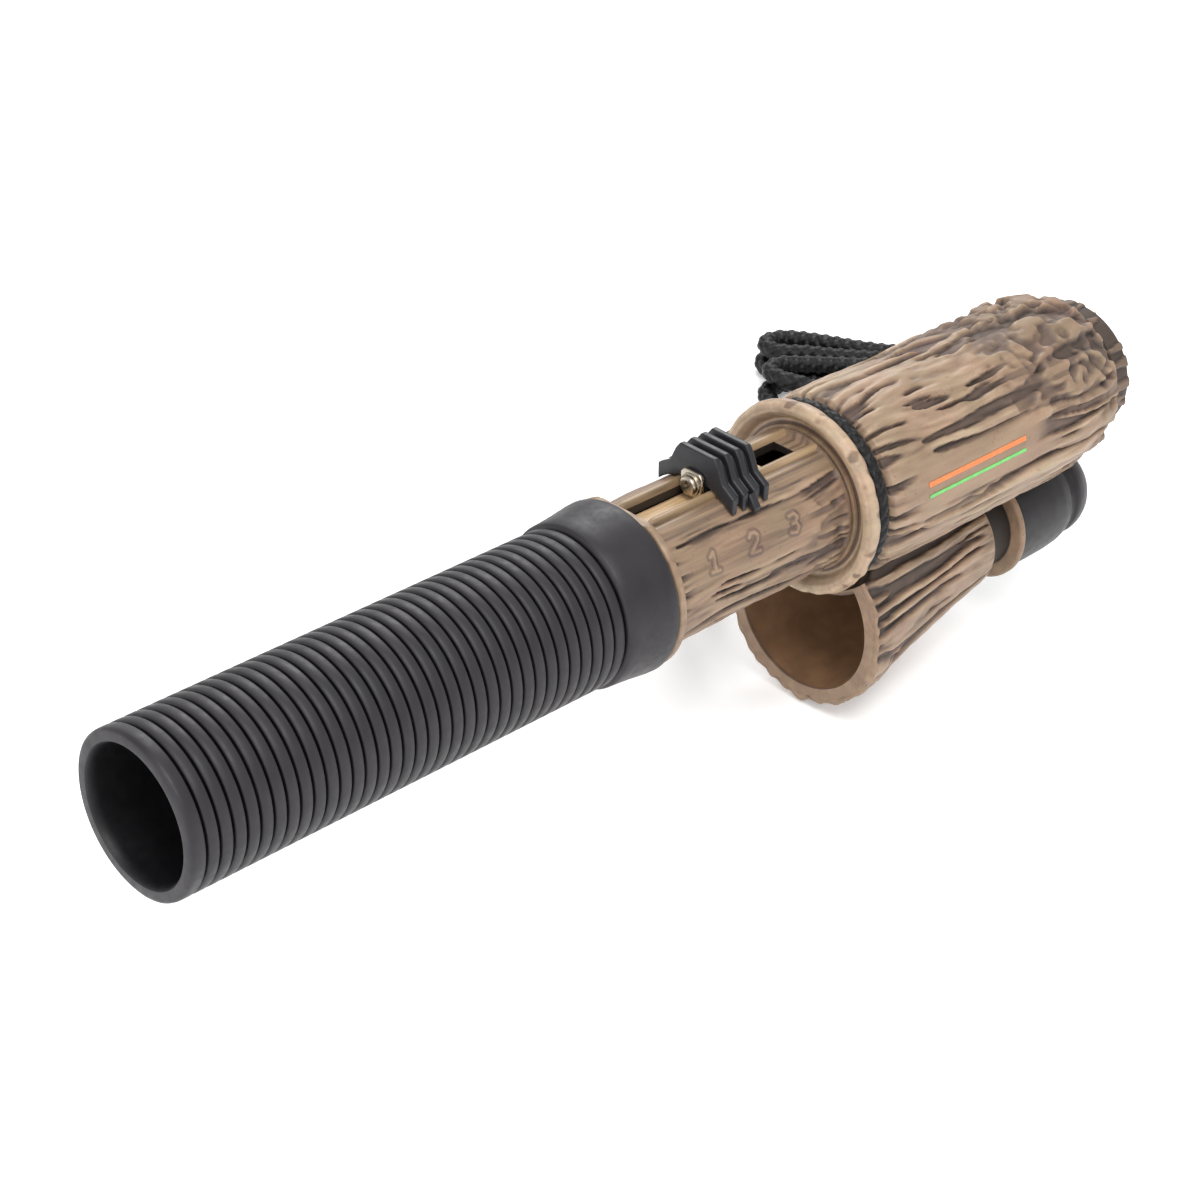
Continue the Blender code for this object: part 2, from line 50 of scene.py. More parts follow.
def metres(x, y, z):
    """Station, Y and height in millimetres, numbers or arrays, as metres in the frame."""
    return (x - LENGTH / 2) / 1000, y / 1000, z / 1000


def place(x, y, z):
    return Vector(metres(x, y, z))


# ---------------------------------------------------------------- camera, lights, floor

def make_camera():
    data = bpy.data.cameras.new("camera")
    data.lens, data.sensor_width = 90.5, 36.0
    data.clip_start, data.clip_end = 0.05, 10
    cam = bpy.data.objects.new("camera", data)
    bpy.context.collection.objects.link(cam)
    forward = Vector((0.60420, 0.60092, -0.52330))
    right = Vector((0.71761, -0.69582, 0.02953))
    up = right.cross(forward)
    turn = Matrix((right, up, -forward)).transposed()
    cam.matrix_world = Matrix.Translation(place(-265.5, -385.74, 390.08)) @ turn.to_4x4()
    bpy.context.scene.camera = cam


make_camera()


def area_light(name, spot, target, size, power, colour=(1, 1, 1)):
    data = bpy.data.lights.new(name, "AREA")
    data.shape = "DISK"
    data.size, data.energy, data.color = size, power, colour
    lamp = bpy.data.objects.new(name, data)
    bpy.context.collection.objects.link(lamp)
    lamp.location = spot
    lamp.rotation_euler = (Vector(target) - Vector(spot)).to_track_quat("-Z", "Y").to_euler()


def make_studio():
    area_light("key", (-0.25, -0.55, 1.1), (0, 0, 0.04), 0.7, 9.5)
    area_light("fill", (-1.1, -0.2, 0.5), (0, 0, 0.04), 0.9, 4.5)
    area_light("back", (0.7, 0.7, 0.8), (0.05, 0, 0.04), 0.6, 6.0)
    world = bpy.data.worlds.new("studio")
    world.use_nodes = True
    world.node_tree.nodes["Background"].inputs["Color"].default_value = (1, 1, 1, 1)
    world.node_tree.nodes["Background"].inputs["Strength"].default_value = 0.75
    bpy.context.scene.world = world
    bpy.context.scene.view_settings.view_transform = "Standard"
    mesh = bpy.data.meshes.new("floor")
    half, drop = 3.0, -0.0004
    corners = [(-half, -half, drop), (half, -half, drop), (half, half, drop), (-half, half, drop)]
    mesh.from_pydata(corners, [], [(0, 1, 2, 3)])
    floor = bpy.data.objects.new("floor", mesh)
    bpy.context.collection.objects.link(floor)
    look = bpy.data.materials.new("floor")
    look.use_nodes = True
    shader = look.node_tree.nodes["Principled BSDF"]
    shader.inputs["Base Color"].default_value = (0.93, 0.93, 0.93, 1)
    shader.inputs["Roughness"].default_value = 0.9
    shader.inputs["Emission Color"].default_value = (1, 1, 1, 1)
    shader.inputs["Emission Strength"].default_value = 0.25
    mesh.materials.append(look)


make_studio()

# ---------------------------------------------------------------- noise

_rng = np.random.RandomState(11)
_perm = np.concatenate([_rng.permutation(256)] * 2)
_grad = _rng.normal(size=(256, 3))
_grad /= np.linalg.norm(_grad, axis=1, keepdims=True)


def perlin(x, y, z):
    """Gradient noise, about -1 to 1, of three arrays of the same shape."""
    x, y, z = np.broadcast_arrays(x, y, z)
    xi, yi, zi = np.floor(x).astype(int), np.floor(y).astype(int), np.floor(z).astype(int)
    fx, fy, fz = x - xi, y - yi, z - zi
    fade = [f * f * f * (f * (f * 6 - 15) + 10) for f in (fx, fy, fz)]
    total = np.zeros(x.shape)
    for dx in (0, 1):
        for dy in (0, 1):
            for dz in (0, 1):
                index = _perm[(_perm[(_perm[(xi + dx) & 255] + yi + dy) & 255] + zi + dz) & 255]
                g = _grad[index]
                dot = g[..., 0] * (fx - dx) + g[..., 1] * (fy - dy) + g[..., 2] * (fz - dz)
                weight = 1.0
                for f, d in zip(fade, (dx, dy, dz)):
                    weight = weight * (f if d else 1 - f)
                total += weight * dot
    return total * 1.6


def smoothstep(low, high, value):
    t = np.clip((value - low) / (high - low), 0, 1)
    return t * t * (3 - 2 * t)


def blurred(grid, passes):
    """A grid whose second axis wraps round, smoothed by repeated averaging."""
    for _ in range(passes):
        grid = (grid + np.roll(grid, 1, 1) + np.roll(grid, -1, 1)) / 3
        padded = np.concatenate([grid[:1], grid, grid[-1:]])
        grid = (padded[:-2] + padded[1:-1] + padded[2:]) / 3
    return grid


# ---------------------------------------------------------------- mesh helpers

def link_mesh(name, mesh, body, look, replaced=(), smooth=35.0):
    if smooth:
        mesh.shade_smooth()
        mesh.set_sharp_from_angle(angle=math.radians(smooth))
    obj = bpy.data.objects.new(name, mesh)
    bpy.context.collection.objects.link(obj)
    mesh.materials.append(look)
    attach(obj, body)
    if replaced:
        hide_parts(*replaced)
    return obj


def set_attribute(mesh, name, values):
    layer = mesh.attributes.new(name, "FLOAT", "POINT")
    layer.data.foreach_set("value", np.asarray(values, np.float32).ravel())


def grid_mesh(name, points, closed=True):
    """A mesh over a grid of points in metres, rings by segments, each ring closed.

    closed joins the last ring to the first. Otherwise the two end rings are capped."""
    rings, segments = points.shape[:2]
    index = np.arange(rings * segments).reshape(rings, segments)
    ahead = np.roll(index, -1, 0) if closed else index[1:]
    here = index if closed else index[:-1]
    quads = np.stack([here, ahead, np.roll(ahead, -1, 1), np.roll(here, -1, 1)], -1)
    faces = quads.reshape(-1, 4).tolist()
    if not closed:
        faces += [index[0].tolist(), index[-1][::-1].tolist()]
    mesh = bpy.data.meshes.new(name)
    mesh.from_pydata(points.reshape(-1, 3).tolist(), [], faces)
    return mesh


def face_out(mesh):
    bm = bmesh.new()
    bm.from_mesh(mesh)
    bmesh.ops.recalc_face_normals(bm, faces=bm.faces)
    bm.to_mesh(mesh)
    bm.free()


def turned_points(profile, axis, segments, lift=0.0, clamp=None):
    """Rings about a line along X, from a profile of (x, r). lift adds to the radius."""
    x, r = np.array(profile, float).T
    turn = np.arange(segments) * math.tau / segments
    r = r[:, None] + lift
    xs = np.broadcast_to(x[:, None], (len(x), segments))
    y = -r * np.sin(turn)[None, :]
    z = axis + r * np.cos(turn)[None, :]
    if clamp is not None:
        z = clamp(xs, y, z)
    return np.stack(metres(xs, y, z), -1)


def finish_bmesh(bm, name):
    """The mesh of a bmesh, with its faces turned out."""
    bmesh.ops.recalc_face_normals(bm, faces=bm.faces)
    mesh = bpy.data.meshes.new(name)
    bm.to_mesh(mesh)
    bm.free()
    return mesh


def apply_modifiers(obj):
    graph = bpy.context.evaluated_depsgraph_get()
    made = bpy.data.meshes.new_from_object(obj.evaluated_get(graph))
    old = obj.data
    obj.modifiers.clear()
    obj.data = made
    made.name = old.name


def subtract(obj, mesh):
    cutter = bpy.data.objects.new("cutter", mesh)
    bpy.context.collection.objects.link(cutter)
    modifier = obj.modifiers.new("cut", "BOOLEAN")
    modifier.operation, modifier.solver, modifier.object = "DIFFERENCE", "EXACT", cutter
    apply_modifiers(obj)
    bpy.data.objects.remove(cutter)


CUT_LEVEL = 1.0  # the bark tone of a wall that a box leaves


def cut_box(obj, xs, ys, zs):
    bm = bmesh.new()
    corners = [place(x, y, z) for x in xs for y in ys for z in zs]
    verts = [bm.verts.new(c) for c in corners]
    for loop in ((0, 1, 3, 2), (4, 6, 7, 5), (0, 4, 5, 1), (2, 3, 7, 6), (0, 2, 6, 4), (1, 5, 7, 3)):
        bm.faces.new([verts[k] for k in loop])
    mesh = finish_bmesh(bm, "cutter")
    set_attribute(mesh, "relief", np.full(len(corners), CUT_LEVEL))
    subtract(obj, mesh)


def cut_bore(obj, start, end, radius, y, z, segments=96):
    """Cuts a round hole along X, from one station to another, about a line at y and z."""
    bm = bmesh.new()
    profile = [(start, 0.0), (start, radius), (end, radius), (end, 0.0)]
    verts = [bm.verts.new(place(x, y, z + r)) for x, r in profile]
    edges = [bm.edges.new((a, b)) for a, b in zip(verts, verts[1:])]
    bmesh.ops.spin(bm, geom=verts + edges, cent=place(0, y, z), axis=(1, 0, 0), angle=math.tau,
                   steps=segments, use_merge=True)
    bmesh.ops.remove_doubles(bm, verts=bm.verts, dist=1e-7)
    subtract(obj, finish_bmesh(bm, "cutter"))


def bevel_edges(obj, width, segments, least_angle, sharp_angle):
    """Rounds the edges over least_angle degrees by width millimetres, and shades the rest smooth."""
    bevel = obj.modifiers.new("bevel", "BEVEL")
    bevel.width, bevel.segments, bevel.limit_method = width / 1000, segments, "ANGLE"
    bevel.angle_limit = math.radians(least_angle)
    apply_modifiers(obj)
    obj.data.shade_smooth()
    obj.data.set_sharp_from_angle(angle=math.radians(sharp_angle))


def bevelled_prism(name, outline, xs, body, look, replaced=(), width=0.2, segments=2):
    """A prism along X over an outline of (y, height), with its edges rounded."""
    bm = bmesh.new()
    loops = [[bm.verts.new(place(x, y, z)) for y, z in outline] for x in xs]
    for k in range(len(outline)):
        after = (k + 1) % len(outline)
        bm.faces.new((loops[0][k], loops[0][after], loops[1][after], loops[1][k]))
    for loop in loops:
        bm.faces.new(loop)
    obj = link_mesh(name, finish_bmesh(bm, name), body, look, replaced, smooth=0)
    bevel_edges(obj, width, segments, 25, 45)
    return obj


def profile_samples(corners, spacing):
    """Points along a polyline of (x, r), spaced evenly on each leg."""
    made = []
    for (xa, ra), (xb, rb) in zip(corners, corners[1:]):
        count = max(1, int(round(math.hypot(xb - xa, rb - ra) / spacing)))
        for k in range(count):
            made.append((xa + (xb - xa) * k / count, ra + (rb - ra) * k / count))
    made.append(corners[-1])
    return made


def rounded(corners, radius, steps=4):
    """A closed or open polyline of (x, r) with its corners rounded off."""
    made = [corners[0]]
    for before, corner, after in zip(corners, corners[1:], corners[2:]):
        b, c, a = Vector(before), Vector(corner), Vector(after)
        reach = min(radius, (b - c).length * 0.45, (a - c).length * 0.45)
        start, end = c + (b - c).normalized() * reach, c + (a - c).normalized() * reach
        for k in range(steps + 1):
            t = k / steps
            made.append(tuple((1 - t) ** 2 * start + 2 * t * (1 - t) * c + t * t * end))
    made.append(corners[-1])
    return made


# ---------------------------------------------------------------- materials

def new_material(name):
    look = bpy.data.materials.new(name)
    look.use_nodes = True
    nodes, links = look.node_tree.nodes, look.node_tree.links
    return look, nodes, links, nodes["Principled BSDF"]


def texture(nodes, links, scale, detail, stretch=(1, 1, 1)):
    coords = nodes.new("ShaderNodeTexCoord")
    mapping = nodes.new("ShaderNodeMapping")
    mapping.inputs["Scale"].default_value = stretch
    links.new(coords.outputs["Object"], mapping.inputs["Vector"])
    noise = nodes.new("ShaderNodeTexNoise")
    noise.inputs["Scale"].default_value = scale
    noise.inputs["Detail"].default_value = detail
    noise.inputs["Roughness"].default_value = 0.55
    links.new(mapping.outputs["Vector"], noise.inputs["Vector"])
    return noise.outputs["Fac"]


def ramp(nodes, links, source, stops):
    made = nodes.new("ShaderNodeValToRGB")
    elements = made.color_ramp.elements
    while len(elements) < len(stops):
        elements.new(0.5)
    for element, (at, colour) in zip(elements, stops):
        element.position = at
        element.color = (*colour, 1)
    links.new(source, made.inputs["Fac"])
    return made.outputs["Color"]


def multiply(nodes, links, factor, a, b):
    made = nodes.new("ShaderNodeMix")
    made.data_type = "RGBA"
    made.blend_type = "MULTIPLY"
    # A Mix node has a set of sockets for each data type. Inputs 6 and 7 and output 2 are colours.
    made.inputs[0].default_value = factor
    links.new(a, made.inputs[6])
    links.new(b, made.inputs[7])
    return made.outputs[2]


def add_bump(nodes, links, shader, height, strength, distance):
    bump = nodes.new("ShaderNodeBump")
    bump.inputs["Strength"].default_value = strength
    bump.inputs["Distance"].default_value = distance
    links.new(height, bump.inputs["Height"])
    links.new(bump.outputs["Normal"], shader.inputs["Normal"])


def attribute(nodes, name):
    made = nodes.new("ShaderNodeAttribute")
    made.attribute_name = name
    return made.outputs["Fac"]


def bark_material():
    """Tan crests and dark, grey-brown hollows, read from how deep each point lies; the level also
    carries painted shade in hollows and grooves.
    """
    look, nodes, links, shader = new_material("camo_bark")
    relief = attribute(nodes, "relief")
    colour = ramp(nodes, links, relief, [
        (0.0, (0.020, 0.014, 0.010)), (0.20, (0.100, 0.066, 0.052)), (0.36, (0.150, 0.100, 0.076)),
        (0.50, (0.195, 0.132, 0.088)), (0.64, (0.275, 0.186, 0.122)), (0.82, (0.340, 0.238, 0.162)),
        (1.0, (0.45, 0.335, 0.235)),
    ])
    grain = texture(nodes, links, 300, 5, (0.16, 1, 1))
    streaks = ramp(nodes, links, grain, [(0.3, (0.72, 0.70, 0.70)), (0.7, (1.12, 1.12, 1.1))])
    colour = multiply(nodes, links, 0.92, colour, streaks)
    patches = texture(nodes, links, 95, 3)
    tint = ramp(nodes, links, patches, [(0.35, (1.05, 0.97, 0.95)), (0.65, (0.93, 0.97, 0.9))])
    colour = multiply(nodes, links, 0.7, colour, tint)
    wear = texture(nodes, links, 900, 3)
    speck = ramp(nodes, links, wear, [(0.62, (1, 1, 1)), (0.74, (0.55, 0.47, 0.4))])
    colour = multiply(nodes, links, 0.6, colour, speck)
    links.new(colour, shader.inputs["Base Color"])
    rough = ramp(nodes, links, relief, [(0.2, (0.62,) * 3), (0.8, (0.46,) * 3)])
    links.new(rough, shader.inputs["Roughness"])
    fine = texture(nodes, links, 1400, 4, (0.3, 1, 1))
    add_bump(nodes, links, shader, fine, 0.35, 0.0002)
    return look


def rail_material(name, gain):
    """Smooth plastic printed like fine straight wood grain. gain lightens it."""
    look, nodes, links, shader = new_material(name)
    grain = texture(nodes, links, 420, 5, (0.07, 1, 1))
    shades = [
        (0.28, (0.12, 0.078, 0.042)), (0.46, (0.25, 0.165, 0.088)), (0.62, (0.36, 0.245, 0.14)),
        (0.8, (0.44, 0.31, 0.185)),
    ]
    shades = [(at, tuple(gain * c for c in colour)) for at, colour in shades]
    colour = ramp(nodes, links, grain, shades)
    links.new(colour, shader.inputs["Base Color"])
    shader.inputs["Roughness"].default_value = 0.42
    add_bump(nodes, links, shader, grain, 0.25, 0.0002)
    return look


def rubber_material(name, colour, roughness, streak=(1, 1, 1), sheen=0.03):
    look, nodes, links, shader = new_material(name)
    dust = texture(nodes, links, 160, 4, streak)
    low = tuple(0.82 * c for c in colour)
    high = tuple(1.2 * c + 0.002 for c in colour)
    links.new(ramp(nodes, links, dust, [(0.3, low), (0.7, high)]), shader.inputs["Base Color"])
    worn = texture(nodes, links, 420, 3)
    rough = ramp(nodes, links, worn, [(0.3, (roughness - 0.05,) * 3), (0.7, (roughness + 0.07,) * 3)])
    links.new(rough, shader.inputs["Roughness"])
    shader.inputs["Sheen Weight"].default_value = sheen
    shader.inputs["Specular IOR Level"].default_value = 0.4
    add_bump(nodes, links, shader, texture(nodes, links, 3200, 3), 0.18, 0.00008)
    return look


def hose_material():
    """Dark rubber with a faint warm bloom, lighter on the crests and near black in the grooves:
    painted light and painted shade.
    """
    look, nodes, links, shader = new_material("hose_rubber")
    relief = attribute(nodes, "relief")
    colour = ramp(nodes, links, relief, [
        (0.0, (0.001, 0.001, 0.001)), (0.5, (0.005, 0.005, 0.006)), (1.0, (0.017, 0.015, 0.018)),
    ])
    dust = texture(nodes, links, 140, 5, (2, 1, 1))
    bloom = ramp(nodes, links, dust, [(0.3, (0.8, 0.8, 0.82)), (0.7, (1.25, 1.2, 1.22))])
    links.new(multiply(nodes, links, 0.9, colour, bloom), shader.inputs["Base Color"])
    rough = ramp(nodes, links, texture(nodes, links, 500, 4), [(0.3, (0.42,) * 3), (0.7, (0.56,) * 3)])
    links.new(rough, shader.inputs["Roughness"])
    shader.inputs["Specular IOR Level"].default_value = 0.4
    add_bump(nodes, links, shader, texture(nodes, links, 2600, 4), 0.2, 0.0001)
    return look


def metal_material():
    look, nodes, links, shader = new_material("nickel")
    brushed = texture(nodes, links, 900, 3, (1, 0.2, 1))
    links.new(ramp(nodes, links, brushed, [(0.3, (0.34, 0.30, 0.24)), (0.7, (0.54, 0.49, 0.41))]),
              shader.inputs["Base Color"])
    rough = ramp(nodes, links, brushed, [(0.3, (0.2,) * 3), (0.7, (0.34,) * 3)])
    links.new(rough, shader.inputs["Roughness"])
    shader.inputs["Metallic"].default_value = 1.0
    add_bump(nodes, links, shader, brushed, 0.1, 0.00005)
    return look


def cord_material():
    look, nodes, links, shader = new_material("braided_cord")
    relief = attribute(nodes, "relief")
    # Painted shade: the gaps between the yarns, where the braid is low, are painted near black.
    colour = ramp(nodes, links, relief, [
        (0.0, (0.0004, 0.0004, 0.0004)), (0.45, (0.002, 0.002, 0.002)), (1.0, (0.007, 0.006, 0.007)),
    ])
    fibres = texture(nodes, links, 2600, 4)
    tint = ramp(nodes, links, fibres, [(0.3, (0.6, 0.6, 0.6)), (0.7, (1.4, 1.35, 1.4))])
    links.new(multiply(nodes, links, 1.0, colour, tint), shader.inputs["Base Color"])
    shader.inputs["Roughness"].default_value = 0.5
    shader.inputs["Specular IOR Level"].default_value = 0.32
    add_bump(nodes, links, shader, fibres, 0.5, 0.00015)
    return look


def film_material():
    look, nodes, links, shader = new_material("reed_film")
    cloud = texture(nodes, links, 200, 3)
    links.new(ramp(nodes, links, cloud, [(0.3, (0.5, 0.44, 0.3)), (0.7, (0.62, 0.56, 0.42))]),
              shader.inputs["Base Color"])
    shader.inputs["Roughness"].default_value = 0.2
    return look


def paint_material(name, colour):
    look, nodes, links, shader = new_material(name)
    worn = texture(nodes, links, 700, 4)
    low = tuple(0.8 * c for c in colour)
    links.new(ramp(nodes, links, worn, [(0.3, low), (0.6, colour)]), shader.inputs["Base Color"])
    shader.inputs["Roughness"].default_value = 0.5
    return look


BARK = bark_material()
RAIL = rail_material("camo_grain", 1.0)
# Painted light: the strip under the slot is a lighter copy of the grain, standing in for light that
# the slot's shade keeps off it.
LIT_STRIP = rail_material("camo_strip_lit", 1.9)  # lighter, as it lies in the shadow of the slot
HOSE = hose_material()
BORE = rubber_material("camo_bore", (0.215, 0.120, 0.062), 0.5, sheen=0.0)
GRIP = rubber_material("grip_rubber", (0.011, 0.011, 0.014), 0.42)
MOUTH = rubber_material("mouth_rubber", (0.009, 0.007, 0.009), 0.45, (0.4, 1, 1))
SEAL = rubber_material("seal_rubber", (0.015, 0.015, 0.016), 0.4)
BLACK = rubber_material("black_plastic", (0.018, 0.018, 0.02), 0.35, sheen=0.0)
NICKEL = metal_material()
CORD = cord_material()
FILM = film_material()
ORANGE = paint_material("paint_orange", (0.80, 0.22, 0.06))
GREEN = paint_material("paint_green", (0.16, 0.58, 0.14))

# ---------------------------------------------------------------- lanyard

CORD_D = 5.2
HANK_MIDDLE = Vector((329.2, 84.35))
HANK_ALONG = (Vector((308.2, 107.2)) - Vector((350.2, 61.5))).normalized()
HANK_ACROSS = Vector((-HANK_ALONG.y, HANK_ALONG.x))
LEAD_OUT = [
    (186.0, 29.8, 46.6), (185.5, 30.8, 38.0), (186.6, 33.4, 27.0), (190.2, 38.6, 15.5),
    (197.2, 45.8, 6.6), (208.0, 54.0, 2.9), (223.0, 62.4, 2.7), (241.0, 71.2, 2.7),
    (259.0, 80.0, 2.7), (273.0, 88.4, 2.7), (282.6, 95.8, 2.7), (289.4, 102.2, 2.7),
]
LEAD_BACK = [
    (192.8, 30.2, 46.6), (193.7, 31.6, 38.0), (196.2, 34.8, 27.5), (200.8, 40.0, 16.5),
    (208.2, 46.4, 7.6), (219.2, 52.9, 3.2), (234.2, 60.4, 2.7), (252.2, 69.0, 2.7),
    (268.2, 77.2, 2.7), (279.4, 84.0, 2.8), (286.6, 88.4, 3.1), (292.2, 89.9, 4.2),
    (297.2, 88.9, 5.8),
]


def hank_point(u, v, z):
    """A point of the hank, from its place along and across the hank."""
    p = HANK_MIDDLE + HANK_ALONG * u + HANK_ACROSS * v
    return (p.x, p.y, z)


def hank_layer(z, s):
    """One layer of the hank: both middle runs first, then the two outer ones round them.

    s lifts the fold between a middle run and an outer one, and draws it in, by that much."""
    return [
        (25, 2.6, z), (12, 2.35, z), (0, 2.35, z), (-12, 2.35, z), (-22, 2.9, z),
        (-28, 4.0, z), (-33.2, 5.4, z), (-37.6, 4.0, z), (-39.2, 0, z), (-37.6, -4.0, z),
        (-33.2, -5.4, z), (-28, -4.0, z), (-22, -2.9, z),
        (-12, -2.35, z), (0, -2.35, z), (12, -2.35, z), (24, -2.7, z),
        (31, -2.6, z + s), (37.4 - s, -2.4, z + s), (41.2 - s, -3.9, z + s),
        (42.7 - s, -7.4, z + s), (41.2 - s, -10.9, z), (37.4, -12.4, z), (31, -12.0, z),
        (23.2, -10.2, z), (15.5, -8.2, z), (8, -7.0, z), (0, -7.0, z), (-8, -7.0, z),
        (-15.5, -8.6, z), (-23.2, -12.0, z), (-31, -14.2, z), (-38, -12.3, z),
        (-43.2, -7.2, z), (-45.1, 0, z), (-43.2, 7.2, z), (-38, 12.3, z), (-31, 14.2, z),
        (-23.2, 12.0, z), (-15.5, 8.6, z), (-8, 7.0, z), (0, 7.0, z),
    ]


def cord_route():
    low, high = 2.7, 7.9
    route = list(LEAD_OUT)
    hank = [(41.6, 12.0, low), (39.0, 6.6, low), (33.0, 3.4, low)]
    hank += hank_layer(low, 0.0)
    hank += [
        (8, 7.0, low), (15.5, 8.6, 2.9), (22, 11.2, 3.8), (28, 13.2, 5.7), (33, 13.9, 7.4),
        (37.4, 13.0, 8.0), (40.2, 10.4, 8.0), (40.4, 6.8, 8.0), (37.6, 4.0, 8.0), (32.0, 3.0, high),
    ]
    hank += hank_layer(high, 0.5)
    hank += [(8, 7.4, high), (14, 10.4, high), (20, 15.2, 7.3)]
    return route + [hank_point(*p) for p in hank] + LEAD_BACK[::-1]


def smooth_route(points, spacing, closed=False):
    """Evenly spaced points on a centripetal Catmull-Rom curve through the route's points."""
    pts = [np.array(p, float) for p in points]
    if closed:
        pts = [pts[-1]] + pts + pts[:2]
    else:
        pts = [2 * pts[0] - pts[1]] + pts + [2 * pts[-1] - pts[-2]]
    dense = []
    for p0, p1, p2, p3 in zip(pts, pts[1:], pts[2:], pts[3:]):
        t0 = 0.0
        t1 = t0 + np.linalg.norm(p1 - p0) ** 0.5
        t2 = t1 + np.linalg.norm(p2 - p1) ** 0.5
        t3 = t2 + np.linalg.norm(p3 - p2) ** 0.5
        for t in np.linspace(t1, t2, 24, endpoint=False):
            a1 = (t1 - t) / (t1 - t0) * p0 + (t - t0) / (t1 - t0) * p1
            a2 = (t2 - t) / (t2 - t1) * p1 + (t - t1) / (t2 - t1) * p2
            a3 = (t3 - t) / (t3 - t2) * p2 + (t - t2) / (t3 - t2) * p3
            b1 = (t2 - t) / (t2 - t0) * a1 + (t - t0) / (t2 - t0) * a2
            b2 = (t3 - t) / (t3 - t1) * a2 + (t - t1) / (t3 - t1) * a3
            dense.append((t2 - t) / (t2 - t1) * b1 + (t - t1) / (t2 - t1) * b2)
    if not closed:
        dense.append(pts[-2])
    else:
        dense.append(dense[0])
    dense = np.array(dense)
    along = np.concatenate([[0], np.cumsum(np.linalg.norm(np.diff(dense, axis=0), axis=1))])
    count = int(round(along[-1] / spacing))
    marks = np.linspace(0, along[-1], count + 1)
    if closed:
        marks = marks[:-1]
    line = np.stack([np.interp(marks, along, dense[:, k]) for k in range(3)], -1)
    return line, marks, along[-1]


def braid_height(s, turn, yarns, cell):
    """The height, 0 to 1, of a round plain braid at a length and a turn."""
    p1 = yarns * turn / math.tau + s / cell
    p2 = yarns * turn / math.tau - s / cell
    a, b = p1 - np.floor(p1), p2 - np.floor(p2)
    over = (np.floor(p1) + np.floor(p2)) % 2 < 1
    across, run = np.where(over, a, b), np.where(over, b, a)
    return np.sqrt(np.clip(1 - (2 * across - 1) ** 2, 0, 1)) * (0.62 + 0.38 * np.sin(math.pi * run))


def braided(name, route, diameter, body, replaced, closed=False, spacing=0.42, around=28):
    line, marks, length = smooth_route(route, spacing, closed)
    if closed:
        tangent = np.roll(line, -1, 0) - np.roll(line, 1, 0)
        turns = round(length / (diameter * 0.62 * 2)) * 2
        cell = length / max(turns, 2)
    else:
        tangent = np.gradient(line, axis=0)
        cell = diameter * 0.62
    tangent /= np.linalg.norm(tangent, axis=1, keepdims=True)
    normal = np.zeros_like(line)
    first = np.cross(tangent[0], (0.3, 0.1, 1.0))
    normal[0] = first / np.linalg.norm(first)
    for k in range(1, len(line)):
        n = normal[k - 1] - tangent[k] * np.dot(normal[k - 1], tangent[k])
        normal[k] = n / np.linalg.norm(n)
    binormal = np.cross(tangent, normal)
    turn = np.arange(around) * math.tau / around
    height = braid_height(marks[:, None], turn[None, :], 4, cell)
    radius = diameter / 2 * (0.68 + 0.35 * height)
    ring = (normal[:, None, :] * np.cos(turn)[None, :, None]
            + binormal[:, None, :] * np.sin(turn)[None, :, None])
    points = line[:, None, :] + ring * radius[..., None]
    x, y, z = np.moveaxis(points, -1, 0)
    mesh = grid_mesh(name, np.stack(metres(x, y, np.maximum(z, FLOOR_GAP)), -1), closed)
    face_out(mesh)
    # The braid's height also sets the cord's colour level, which paints shade into the gaps between
    # the yarns.
    set_attribute(mesh, "relief", height)
    made = link_mesh(name, mesh, body, CORD, replaced, smooth=80)
    return made, [tuple(place(*p)) for p in line[:-4:6]] + [tuple(place(*line[-1]))], length


def make_lanyard():
    wrap_r = 19.7
    loop = [(189.5, wrap_r * math.sin(t), MAIN_AXIS + wrap_r * math.cos(t))
            for t in (math.tau * k / 24 for k in range(24))]
    braided("lanyard_wrap_braid", loop, 4.5, "call_body", ["lanyard_wrap"], closed=True)
    coil = [(184.9 + 1.25 * k / math.tau * 2.2, 28.4 + 2.5 * math.sin(k), 53.6 + 2.6 * math.cos(k))
            for k in np.linspace(0, 3.2 * math.tau, 28)]
    knot, _, _ = braided("lanyard_knot_braid", coil, 3.9, "call_body", ["lanyard_knot"])
    route = cord_route()
    cord, path, length = braided("lanyard_braid", route, CORD_D, "call_body",
                                 ["lanyard_lead_out", "lanyard_lead_back", "lanyard_hank"])
    make_tie()


def make_tie():
    """A soft band round the hank's waist."""
    half_w, half_h, middle, wall, width = 10.3, 5.9, 5.95, 1.2, 5.6
    ring, steps = [], 48
    for k in range(steps):
        t = math.tau * k / steps
        c, s = math.cos(t), math.sin(t)
        ring.append((math.copysign(abs(c) ** 0.55, c), math.copysign(abs(s) ** 0.45, s)))
    rows = [(-1.0, 0.35), (-0.8, 0.9), (0.0, 1.0), (0.8, 0.9), (1.0, 0.35)]
    section = [(u * width / 2, w) for u, w in rows] + [(u * width / 2, -0.1) for u, _ in rows[::-1]]
    points = np.zeros((len(ring), len(section), 3))
    for i, (cv, cz) in enumerate(ring):
        for j, (u, out) in enumerate(section):
            v = cv * (half_w + wall * (out - 0.5))
            z = middle + cz * (half_h + wall * (out - 0.5))
            points[i, j] = metres(*hank_point(u, v, max(z, FLOOR_GAP)))
    mesh = grid_mesh("hank_tie_band", points)
    face_out(mesh)
    link_mesh("hank_tie_band", mesh, "call_body", SEAL, ["hank_tie"], smooth=60)


make_lanyard()

# ---------------------------------------------------------------- bark

